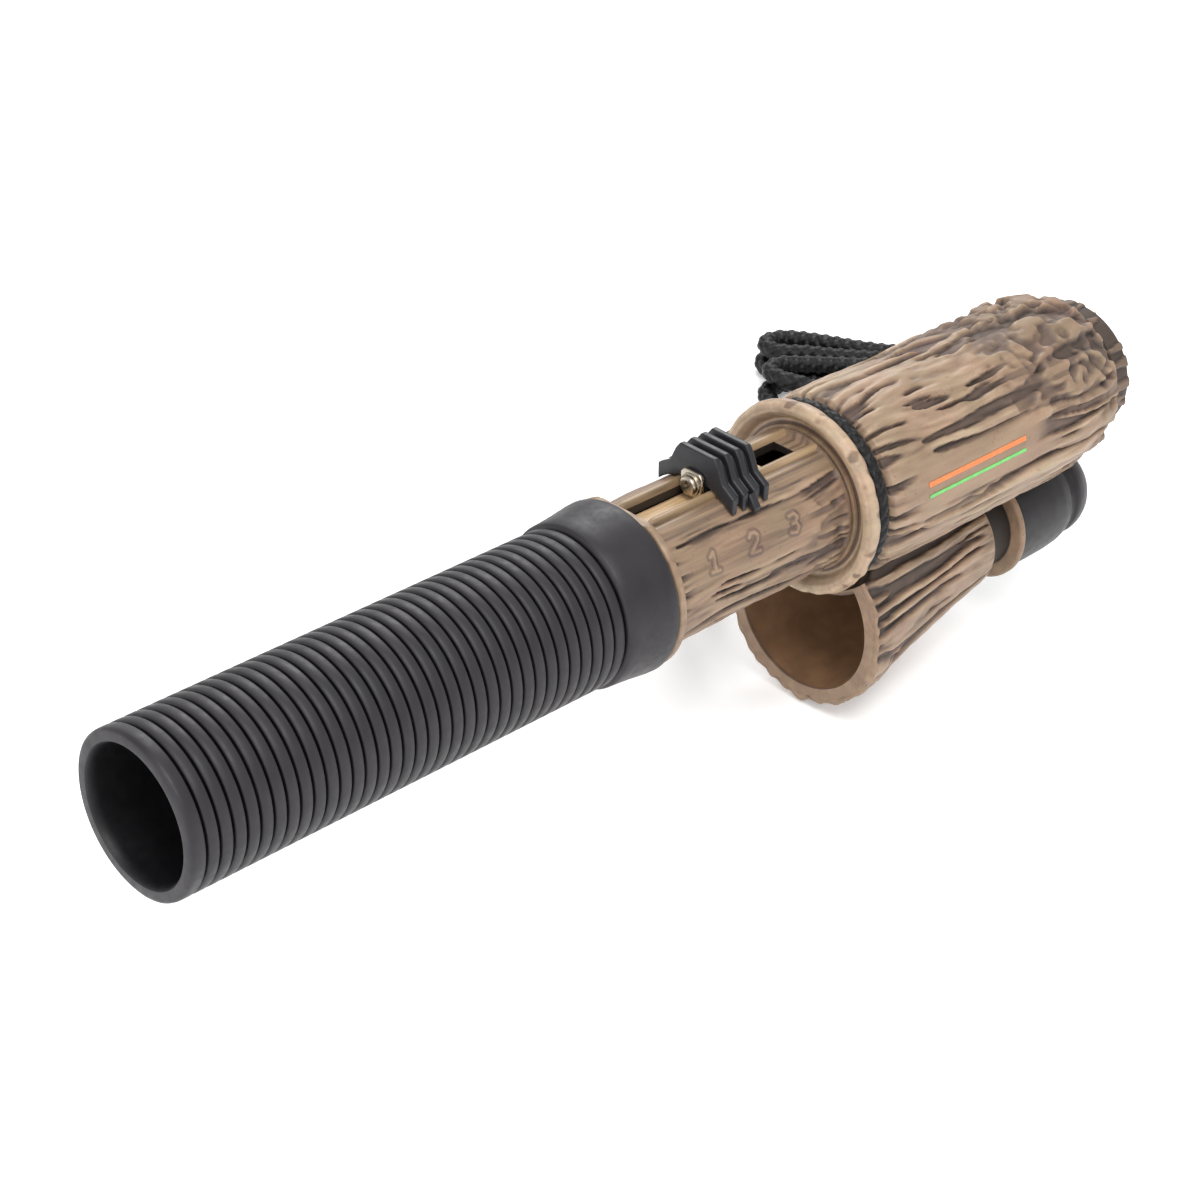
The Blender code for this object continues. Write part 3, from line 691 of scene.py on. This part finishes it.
def bark(x, turn, radius, seed, stretch=1.0, width=1.0):
    """Depth below the crests in mm, and colour level 0 to 1, of a barked skin.

    x is rings by 1 and turn is 1 by segments. Long hollows run along the axis between ridges."""
    y, z = radius * np.sin(turn), radius * np.cos(turn)
    bend = perlin(x / 26 + seed, y / 11, z / 11) * 2.4
    bend2 = perlin(x / 26 + seed + 40, y / 11, z / 11) * 2.4
    yy, zz = y + bend, z + bend2
    long = perlin(x / (42 * stretch) + seed, yy / (2.5 * width), zz / (2.5 * width))
    mid = perlin(x / (19 * stretch) + seed + 9, yy / (1.6 * width), zz / (1.6 * width))
    broad = perlin(x / 38 + seed + 60, y / 13, z / 13)
    fine = perlin(x / 4.6 + seed + 21, yy / 1.25, zz / 1.25)
    grain = perlin(x / 20 + seed + 33, yy / 0.75, zz / 0.75)
    n = long + 0.46 * mid + 0.36 * broad + 0.10 * fine + 0.09
    crest = smoothstep(-0.14, 0.05, n)
    depth = -1.1 * (1 - crest) + 0.55 * np.clip(n, 0, 0.6) + 0.16 * fine * crest + 0.09 * grain
    level = 0.24 + 0.36 * crest + 0.45 * np.clip(n, 0, 0.5) * crest + 0.07 * fine + 0.09 * grain
    return depth - 0.25, level


def knobs(x, turn, radius, seed):
    """Burls: rounded lumps with dark hollows between them."""
    y, z = radius * np.sin(turn), radius * np.cos(turn)
    bend = perlin(x / 7 + seed, y / 7, z / 7) * 2.4
    a = perlin((x + bend) / 8.4 + seed, y / 4.8, z / 4.8)
    b = perlin(x / 3.2 + seed + 5, (y + bend) / 2.5, z / 2.5)
    n = a + 0.45 * b
    lump = smoothstep(-0.34, 0.30, n)
    return -1.3 + 2.2 * lump + 0.25 * b, 0.14 + 0.38 * lump + 0.16 * np.clip(n, 0, 0.6)


SKIN_STEP = 0.42  # spacing of a barrel's rings, in millimetres


def skin_object(name, profile, shape, axis, segments, body, replaced, clamp=None):
    """A turned skin. shape(x, r, turn) gives what to add to the radius and the colour level.

    clamp(x, y, z) gives the height that each point is held to."""
    xs, rs = np.array(profile).T
    turn = np.arange(segments)[None, :] * math.tau / segments
    add, level = shape(xs[:, None], rs[:, None], turn)
    add = np.broadcast_to(add, (len(xs), segments))
    level = np.broadcast_to(level, (len(xs), segments))
    # Painted shade and highlight: each point is darkened by how far it lies below its smoothed
    # neighbours and lightened by how far it stands above them.
    cavity = np.clip((blurred(add, 3) - add) / 0.35, -1, 1)
    level = np.clip(level - 0.16 * cavity, 0, 1)
    mesh = grid_mesh(name, turned_points(profile, axis, segments, add, clamp))
    face_out(mesh)
    set_attribute(mesh, "relief", level)
    return link_mesh(name, mesh, body, BARK, replaced, smooth=60)


def window(x, start, end, soft):
    return smoothstep(start - soft, start + soft, x) * (1 - smoothstep(end - soft, end + soft, x))


def degrees_from(turn, centre):
    """Signed degrees between a turn and a direction, both from the top towards -Y."""
    return (np.degrees(turn) - centre + 180) % 360 - 180


def make_main_barrel():
    outer = [
        (184.2, 16.2), (184.2, 17.3), (185.2, 17.4), (185.2, 18.7), (183.7, 19.7), (182.8, 20.7),
        (182.7, 21.8), (183.2, 22.7), (184.3, 23.2), (185.6, 23.1), (186.6, 22.5), (187.0, 21.0),
        (187.0, 17.5), (191.9, 17.5), (192.2, 20.4), (192.9, 21.8),
        (196.0, 22.3), (262.0, BARREL_R), (269.0, 21.6), (274.5, 20.2), (277.4, 17.6), (278.4, 15.9),
    ]
    inner = [(278.5, 13.6), (207.0, 13.6), (207.0, 15.9), (184.3, 15.9)]
    profile = profile_samples(outer, SKIN_STEP) + profile_samples(inner, 6.0)[:-1]
    body_start = 191.8

    def shape(x, r, turn):
        depth, level = bark(x, turn, BARREL_R, 3.7)
        bumps, bump_level = knobs(x, turn, BARREL_R, 31.0)
        upper = smoothstep(75, 40, np.abs(degrees_from(turn, 12)))
        rear = smoothstep(232, 244, x) * upper
        rear = np.clip(0.72 * rear + smoothstep(264, 272, x) * 0.5, 0, 0.85)
        depth = depth * (1 - rear) + bumps * rear
        level = level * (1 - rear) + bump_level * rear
        panel = window(x, 199.0, 245, 5.0) * smoothstep(20, 14, np.abs(degrees_from(turn, 80)))
        depth = depth * (1 - panel) - 0.35 * panel
        level = level * (1 - panel) + 0.70 * panel
        ridge = window(x, 196, 262, 3.0) * np.exp(-(degrees_from(turn, 104) / 3.0) ** 2)
        depth = depth + 0.9 * ridge
        level = level + 0.25 * ridge
        on_bark = smoothstep(body_start, body_start + 0.8, x) * smoothstep(278.4, 276.4, x)
        outside = on_bark * (r > 14.5)
        lip = (x < 187.05) * (r > 17.9)
        rim = np.where(r > 22.0, 1.0, 0.0) * lip
        wobble = perlin(x / 3 + 50, 23 * np.sin(turn) / 3.4, 23 * np.cos(turn) / 3.4)
        add = outside * depth + rim * 0.3 * wobble
        lip_level = 0.93 + 0.14 * perlin(x / 2, 23 * np.sin(turn) / 9, r / 0.45)
        # Painted shade: the lip's outer rim is darkened where its wobble dips in.
        lip_level = lip_level - 0.45 * rim * smoothstep(0.28, 0.5, -wobble)
        flat = np.where(lip, lip_level, 0.72)
        # Painted shade: the step inside the lip is darkened, and the groove under the cord wrap is
        # painted near black.
        flat = np.where((x > 184.9) & (x < 185.4) & (r < 17.9), 0.25, flat)
        flat = np.where((x > 186.9) & (x < 192.0) & (r < 20.0), 0.08, flat)
        return add, outside * level + (1 - outside) * flat

    skin_object("main_barrel_skin", profile, shape, MAIN_AXIS, 360, "call_body", ["main_barrel"])


def make_main_mouthpiece():
    outer = [
        (261.0, 12.6), (262.0, 13.3), (279.0, 13.3), (279.0, 14.9), (279.7, 16.2), (284.2, 16.3),
        (284.9, 15.7), (285.0, 12.8),
    ]
    inner = [(284.4, 11.4), (281.0, 8.4), (276.0, 6.5), (265.0, 6.5), (261.0, 10.0)]
    profile = profile_samples(outer, 0.4) + profile_samples(rounded(inner, 1.0), 0.8)

    def shape(x, r, turn):
        blocks = perlin(x / 9 + 3, 15 * np.sin(turn) / 2.2, 15 * np.cos(turn) / 2.2)
        tall = smoothstep(-0.05, 0.15, blocks)
        rim = (x > 279.3) * (r > 13.6)
        add = rim * (0.55 * tall - 0.2)
        level = np.where(rim, 0.12 + 0.26 * tall, 0.42)
        return add, np.broadcast_to(level, add.shape)

    skin_object("main_mouthpiece_skin", profile, shape, MAIN_AXIS, 240, "mouthpiece",
                ["main_mouthpiece"])


def make_snort_body():
    outer = [
        (188.6, 19.3), (188.6, 23.0), (189.2, 23.5), (194.0, 23.0), (203.0, 20.8), (214.0, 18.4),
        (228.0, 15.7), (240.0, 13.8), (242.4, 13.3), (242.6, 10.7), (251.2, 10.7), (251.4, 13.8),
        (251.7, 14.3), (252.7, 14.3), (253.0, 13.9), (253.0, 9.6), (262.0, 9.6),
    ]
    inner = [(262.0, 6.0), (250.0, 6.0), (240.0, 9.0), (222.0, 12.6), (205.0, 16.6), (189.4, 19.2)]
    skin_rings = profile_samples(outer, SKIN_STEP)
    profile = skin_rings + profile_samples(inner, 1.5)
    inside = (np.arange(len(profile)) >= len(skin_rings))[:, None]
    segments = 320

    def clamp(x, y, z):
        """Keeps the tube below the main barrel, and its bore below the tube's own top wall."""
        near_cord = smoothstep(194.5, 192.0, x)
        limit = 22.0 + 2.0 * near_cord + np.where(inside, 1.3, 0.0)
        over = (np.abs(y) < limit) & (x < 242.5)
        roof = MAIN_AXIS - np.sqrt(np.clip(limit ** 2 - y ** 2, 0, None))
        return np.where(over, np.minimum(z, roof), z)

    def shape(x, r, turn):
        depth, level = bark(x, turn, 18.0, 88.0, 1.7, 1.05)
        level = level - 0.07
        skin = smoothstep(188.9, 190.4, x) * smoothstep(242.6, 241.4, x) * ~inside
        edge = np.exp(-((x - 189.6) / 2.2) ** 2) * ~inside * (r > 22.0)
        wobble = perlin(x / 5 + 70, 24 * np.sin(turn) / 3.0, 24 * np.cos(turn) / 3.0)
        add = skin * depth + edge * 1.15 * wobble
        ring = (x > 251.2) & (x <= 253.0)
        # Painted shade: the groove before the snort tube's end ring is painted black, as its level is
        # clipped to 0.
        groove = (x > 242.5) & (x < 251.5) & (r < 12.6)
        plain = np.where(ring, 0.66, np.where(groove, -0.3, 0.60))
        plain = np.where(inside, 0.30, plain)
        return add, skin * level + (1 - skin) * np.broadcast_to(plain, skin.shape)

    obj = skin_object("snort_body_skin", profile, shape, SNORT_AXIS, segments, "call_body",
                      ["snort_body"], clamp)
    obj.data.materials.append(BORE)
    for polygon in obj.data.polygons:
        if min(v // segments for v in polygon.vertices) >= len(skin_rings):
            polygon.material_index = 1


# ---------------------------------------------------------------- slide barrel

RAIL_Y, RAIL_Z, RAIL_R = 4.6, MAIN_AXIS + 14.95, 1.25
SLOT_HALF = 3.3

# The lines of 1, 2 and 3, each at its station, in millimetres from its own middle.
NUMERALS = {
    141.0: [[(-0.9, 1.2), (0.2, 2.1), (0.2, -2.1)], [(-1.0, -2.1), (1.4, -2.1)]],
    153.5: [[(-1.3, 1.3), (-0.6, 2.1), (0.6, 2.1), (1.3, 1.3), (1.1, 0.3), (-1.4, -2.1), (1.4, -2.1)]],
    166.0: [[(-1.2, 1.8), (0.4, 2.1), (1.2, 1.2), (0.6, 0.1), (-0.4, 0.0)],
            [(0.6, 0.1), (1.3, -1.0), (0.5, -2.1), (-1.3, -1.8)]],
}


def distance_to(lines, u, v):
    best = np.full(np.broadcast(u, v).shape, 99.0)
    for line in lines:
        for (ua, va), (ub, vb) in zip(line, line[1:]):
            du, dv = ub - ua, vb - va
            t = np.clip(((u - ua) * du + (v - va) * dv) / (du * du + dv * dv), 0, 1)
            best = np.minimum(best, np.hypot(u - ua - t * du, v - va - t * dv))
    return best


def make_slide_barrel():
    outer = [
        (109.0, 15.9), (110.0, 16.6), (127.2, 16.6), (127.2, 18.9), (127.5, 19.4), (128.9, 19.4),
        (129.2, 18.9), (129.3, 17.2), (131.0, SLIDE_R), (183.6, SLIDE_R), (183.6, 15.6), (206.0, 15.6),
    ]
    inner = [(206.0, 13.4), (109.0, 13.4)]
    profile = profile_samples(outer[:7], 0.8)[:-1] + profile_samples(outer[6:10], 0.3)
    profile += profile_samples(outer[10:], 2.0) + profile_samples(inner, 5.0)
    pad_centre = 65.0

    def shape(x, r, turn):
        depth, level = bark(x, turn, SLIDE_R, 141.0, 1.1, 0.72)
        depth, level = 0.72 * depth + 0.1, level - 0.09
        off_top = np.abs(degrees_from(turn, 0))
        deck = smoothstep(44, 34, off_top)
        streak = perlin(x / 24, SLIDE_R * np.sin(turn) / 0.55, SLIDE_R * np.cos(turn) / 0.55)
        depth = depth * (1 - deck) + deck * (-0.15 + 0.12 * streak)
        level = level * (1 - deck) + deck * (0.55 + 0.30 * streak)
        band = smoothstep(21, 16, np.abs(degrees_from(turn, pad_centre))) * window(x, 133, 172, 2.5)
        depth = depth * (1 - 0.85 * band) - 0.1 * band
        level = level * (1 - 0.8 * band) + 0.8 * band * (0.62 + 0.12 * streak)
        v = degrees_from(turn, pad_centre) / 180 * math.pi * SLIDE_R
        tilt = 0.1
        for station, lines in NUMERALS.items():
            u = x - station
            away = distance_to(lines, u + tilt * v, -(v - tilt * u))
            stroke = np.exp(-(away / 0.42) ** 2)
            # Painted shade: a dark ring is laid round each raised stroke of the numerals.
            outline = smoothstep(0.5, 0.05, np.abs(away - 0.72))
            depth = depth + 0.34 * stroke
            level = level - 0.26 * outline + 0.08 * stroke
        lumps, lump_level = knobs(x, turn, SLIDE_R, 77.0)
        near = smoothstep(167, 173, x) * smoothstep(48, 62, off_top)
        depth = depth * (1 - 0.5 * near) + near * 0.3 * lumps
        level = level * (1 - 0.4 * near) + 0.4 * near * lump_level
        skin = smoothstep(129.4, 131.5, x) * smoothstep(183.6, 182.2, x) * (r > 16.0)
        flange = (x > 127.0) & (x < 129.3)
        chips = perlin(x + 9, 19 * np.sin(turn) / 2.5, 19 * np.cos(turn) / 2.5)
        plain = np.where(flange, 0.66 + 0.2 * chips, 0.45)
        return skin * depth, skin * level + (1 - skin) * plain

    def deck_flat(x, y, z):
        """Planes the top of the tube down to the flat that carries the rails."""
        low = smoothstep(129.6, 131.4, x) * smoothstep(183.4, 182.4, x)
        return np.minimum(z, MAIN_AXIS + 17.6 - 2.6 * low)

    obj = skin_object("slide_barrel_skin", profile, shape, MAIN_AXIS, 330, "slide_tube",
                      ["slide_barrel"], deck_flat)
    cut_box(obj, (132.2, 178.5), (-SLOT_HALF, SLOT_HALF), (MAIN_AXIS + 8, MAIN_AXIS + 22))
    for side, word in ((1, "left"), (-1, "right")):
        make_rail(f"slide_rail_{word}", side * RAIL_Y)


def make_rail(name, y):
    """A round bar half sunk beside the slot, thinner at its front end."""
    xs = np.concatenate([np.linspace(130.6, 134, 8), np.linspace(135, 183.3, 42)])
    around = 20
    points = np.zeros((len(xs), around, 3))
    for i, x in enumerate(xs):
        rise = float(smoothstep(130.4, 133.5, x))
        for j in range(around):
            t = math.tau * j / around
            r = RAIL_R * (0.55 + 0.45 * rise)
            points[i, j] = place(x, y + r * math.sin(t), RAIL_Z + r * math.cos(t))
    mesh = grid_mesh(name, points, closed=False)
    face_out(mesh)
    link_mesh(name, mesh, "slide_tube", RAIL)


def make_shutter():
    """The strip under the slot, with the hole that the carriage's tab comes up through."""
    low, high = MAIN_AXIS + 12.1, MAIN_AXIS + 12.95
    outline = [(-3.0, low), (3.0, low), (3.0, high), (-3.0, high)]
    # The strip wears the lighter copy of the grain, painted light against the shade in the slot.
    obj = bevelled_prism("slot_shutter_skin", outline, (128.0, 171.0), "slider", LIT_STRIP,
                         ["slot_shutter"], width=0.15)
    cut_box(obj, (153.1, 158.5), (-1.9, 1.9), (MAIN_AXIS + 10, MAIN_AXIS + 14))


# ---------------------------------------------------------------- hose

def make_hose():
    ribs, pitch, start = 35, 3.2, 1.0
    outer = [(0.0, 15.4), (0.0, 17.3), (0.35, 17.85), (1.0, 18.0)]
    for k in range(ribs):
        x = start + k * pitch
        outer += [
            (x + 0.35, 18.02), (x + 2.0, 18.02), (x + 2.35, 17.85), (x + 2.5, 17.35),
            (x + 2.62, 16.75), (x + 2.9, 16.7), (x + 3.05, 17.35), (x + 3.2, 17.85),
        ]
    end = start + ribs * pitch
    outer += [
        (end + 0.3, 18.5), (end + 0.7, 18.75), (end + 3, 18.9), (end + 7, 19.25), (end + 11, 19.75),
        (125.9, 19.85), (126.45, 19.6), (126.6, 19.0),
    ]
    inner = [(126.6, 16.9), (108.7, 16.9), (108.7, 15.0)]
    for k in range(ribs - 2, -1, -1):
        x = start + k * pitch
        inner += [(x + 3.0, 15.05), (x + 1.6, 14.75)]
    inner += [(0.6, 15.0)]
    profile, segments = outer + inner, 144
    xs, rs = np.array(profile).T
    # Painted light and shade: the crests and the mouth's end face are painted lighter, and the grooves
    # near black.
    level = np.where(rs > 17.6, 0.95, np.where(rs > 16.0, 0.15, 0.55))
    level = np.where((xs < 0.8) & (rs > 15), 1.0, level)
    mesh = grid_mesh("hose_skin", turned_points(profile, MAIN_AXIS, segments))
    face_out(mesh)
    set_attribute(mesh, "relief", np.broadcast_to(level[:, None], (len(xs), segments)))
    link_mesh("hose_skin", mesh, "hose", HOSE, ["resonator_hose"], smooth=50)


def make_snort_mouthpiece():
    outer = [
        (253.3, 9.9), (253.3, 12.9), (253.7, 13.35), (260.0, 13.4), (266.0, 13.3), (270.5, 12.95),
        (273.0, 12.4), (274.0, 11.6), (274.7, 11.3), (275.5, 11.35), (276.3, 11.9), (277.3, 12.0),
        (279.0, 11.7), (281.2, 10.8), (283.2, 9.3), (284.5, 7.3), (285.0, 5.6), (284.9, 4.2),
    ]
    inner = [(283.6, 3.8), (279.0, 3.8), (276.0, 5.6), (262.6, 5.6), (262.6, 9.9)]
    profile = profile_samples(rounded(outer, 0.8), 0.5) + inner
    mesh = grid_mesh("snort_mouthpiece_skin", turned_points(profile, SNORT_AXIS, 96))
    face_out(mesh)
    link_mesh("snort_mouthpiece_skin", mesh, "snort_mouth", MOUTH,
              ["snort_mouthpiece"], smooth=40)


# ---------------------------------------------------------------- slider and clamp

SLIDE_CLEAR, RAIL_CLEAR = 17.12, 1.62  # radii of the slider's hollows over the barrel and a rail
SCREW_Z = MAIN_AXIS + 16.6


def make_slider():
    """Four fins on a narrower core, hollowed to ride on the slide barrel and its rails."""
    fin = [(11.2, 11.0), (11.4, 16.9), (8.0, 19.0), (6.4, 22.6), (5.2, 24.2)]
    core = [(9.8, 11.0), (9.9, 16.2), (6.7, 18.2), (5.2, 21.4), (4.2, 22.6)]
    start, thick, gap, fins = 150.1, 1.6, 1.67, 4

    def ring(outline):
        return [(y, z) for y, z in outline] + [(-y, z) for y, z in reversed(outline)]

    sections = []
    for k in range(fins):
        x = start + k * (thick + gap)
        sections += [(x, ring(fin)), (x + thick, ring(fin))]
        if k < fins - 1:
            sections += [(x + thick, ring(core)), (x + thick + gap, ring(core))]
    bm = bmesh.new()
    loops = [[bm.verts.new(place(x, y, MAIN_AXIS + z)) for y, z in outline] for x, outline in sections]
    for near, far in zip(loops, loops[1:]):
        for k in range(len(near)):
            after = (k + 1) % len(near)
            bm.faces.new((near[k], near[after], far[after], far[k]))
    bm.faces.new(loops[0])
    bm.faces.new(loops[-1])
    obj = link_mesh("slider_fins", finish_bmesh(bm, "slider_fins"), "slider", GRIP,
                    ["slider_grip"], smooth=0)
    front, back = 140, 172
    cut_bore(obj, front, back, SLIDE_CLEAR, 0.0, MAIN_AXIS)
    for y in (RAIL_Y, -RAIL_Y):
        cut_bore(obj, front, back, RAIL_CLEAR, y, RAIL_Z, 24)
    bevel_edges(obj, 0.38, 3, 28, 40)
    make_keel()
    make_pointer()


def make_keel():
    top, bottom = MAIN_AXIS + 18.0, MAIN_AXIS + 13.7
    outline = [(-3.0, bottom), (3.0, bottom), (3.0, top), (-3.0, top)]
    bevelled_prism("slider_keel", outline, (150.5, 161.1), "slider", GRIP)


def make_pointer():
    outline = [(-10.4, 14.2), (-12.2, 12.6), (-13.2, 13.0), (-13.4, 13.8), (-11.2, 16.6)]
    outline = [(y, MAIN_AXIS + z) for y, z in outline]
    bevelled_prism("slider_pointer", outline, (155.1, 157.0), "slider", GRIP, width=0.3)


def make_clamp():
    """The chamfered plate, the boss round its hole and the cross-slotted screw."""
    half, chamfer = 3.15, 1.0
    outline = []
    for sy, sz in ((1, 1), (-1, 1), (-1, -1), (1, -1)):
        first = (sy * half, sz * (half - chamfer))
        second = (sy * (half - chamfer), sz * half)
        pair = [first, second] if sy * sz > 0 else [second, first]
        outline += [(y, SCREW_Z + z) for y, z in pair]
    plate = bevelled_prism("clamp_plate_skin", outline, (148.8, 149.8), "clamp", NICKEL,
                           ["clamp_plate"], 0.22, 3)
    cut_bore(plate, 140, 160, 1.4, 0.0, SCREW_Z, 48)
    plate.data.set_sharp_from_angle(angle=math.radians(40))
    boss = rounded([(148.85, 1.5), (148.3, 1.5), (148.3, 1.9), (148.3, 2.65), (148.85, 2.75),
                    (148.85, 1.5)], 0.12)
    mesh = grid_mesh("clamp_boss", turned_points(boss[:-1], SCREW_Z, 64))
    face_out(mesh)
    link_mesh("clamp_boss", mesh, "clamp", NICKEL)
    dome = [(148.25, 1.1), (148.25, 2.2), (147.9, 2.25), (147.5, 2.1), (147.36, 1.6), (147.3, 0.7),
            (147.3, 0.01)]
    shank = [(163.6, 0.01), (163.7, 1.0)]
    profile = profile_samples(rounded(dome, 0.25), 0.12) + shank
    mesh = grid_mesh("clamp_screw_skin", turned_points(profile, SCREW_Z, 64))
    face_out(mesh)
    screw = link_mesh("clamp_screw_skin", mesh, "screw", NICKEL, ["clamp_screw"],
                      smooth=35)
    long, thin = 1.35, 0.36
    for across, up in ((long, thin), (thin, long)):
        cut_box(screw, (145, 147.9), (-across, across), (SCREW_Z - up, SCREW_Z + up))
    screw.data.set_sharp_from_angle(angle=math.radians(35))


# ---------------------------------------------------------------- printed panel

def make_print():
    """Two plain straight stripes along the smooth panel, each between two turns in degrees."""
    start, end = 204.0, 238.0
    columns, rows = 40, 8
    under, over = 22.02, 22.14
    for name, look, low, high in (
        ("panel_stripe_orange", ORANGE, 75.5, 78.5),
        ("panel_stripe_green", GREEN, 83.5, 85.5),
    ):
        points = np.zeros((2, columns, rows, 3))
        for layer, radius in enumerate((under, over)):
            for i in range(columns):
                for j in range(rows):
                    t, w = i / (columns - 1), j / (rows - 1)
                    angle = math.radians(low + (high - low) * w)
                    x = start + (end - start) * t
                    points[layer, i, j] = place(x, -radius * math.sin(angle),
                                                MAIN_AXIS + radius * math.cos(angle))
        index = np.arange(2 * columns * rows).reshape(2, columns, rows)
        faces = []
        for layer, flip in ((0, True), (1, False)):
            grid = index[layer]
            quads = np.stack([grid[:-1, :-1], grid[1:, :-1], grid[1:, 1:], grid[:-1, 1:]], -1)
            quads = quads.reshape(-1, 4)
            faces += (quads[:, ::-1] if flip else quads).tolist()
        border = [(i, 0) for i in range(columns)] + [(columns - 1, j) for j in range(1, rows)]
        border += [(i, rows - 1) for i in range(columns - 2, -1, -1)]
        border += [(0, j) for j in range(rows - 2, 0, -1)]
        for (i, j), (p, q) in zip(border, border[1:] + border[:1]):
            faces.append([int(index[0, i, j]), int(index[0, p, q]), int(index[1, p, q]),
                          int(index[1, i, j])])
        mesh = bpy.data.meshes.new(name)
        mesh.from_pydata(points.reshape(-1, 3).tolist(), [], faces)
        face_out(mesh)
        link_mesh(name, mesh, "call_body", look, smooth=40)


# ---------------------------------------------------------------- CAD pieces that stay

def finish_cad_nodes():
    looks = {
        "reed_carriage": BLACK, "tone_board": BLACK, "reed_holder": BLACK, "snort_jet": BLACK,
        "reed": FILM, "reed_wedge": SEAL, "reed_band": SEAL, "barrel_oring": SEAL,
        "holder_oring": SEAL, "mouthpiece_oring": SEAL, "clamp_nut": NICKEL,
    }
    for node, look in looks.items():
        obj = bpy.data.objects[node]
        for slot in obj.material_slots:
            slot.material = look


make_hose()
make_slide_barrel()
make_shutter()
make_slider()
make_clamp()
make_main_barrel()
make_main_mouthpiece()
make_snort_body()
make_snort_mouthpiece()
make_print()
finish_cad_nodes()
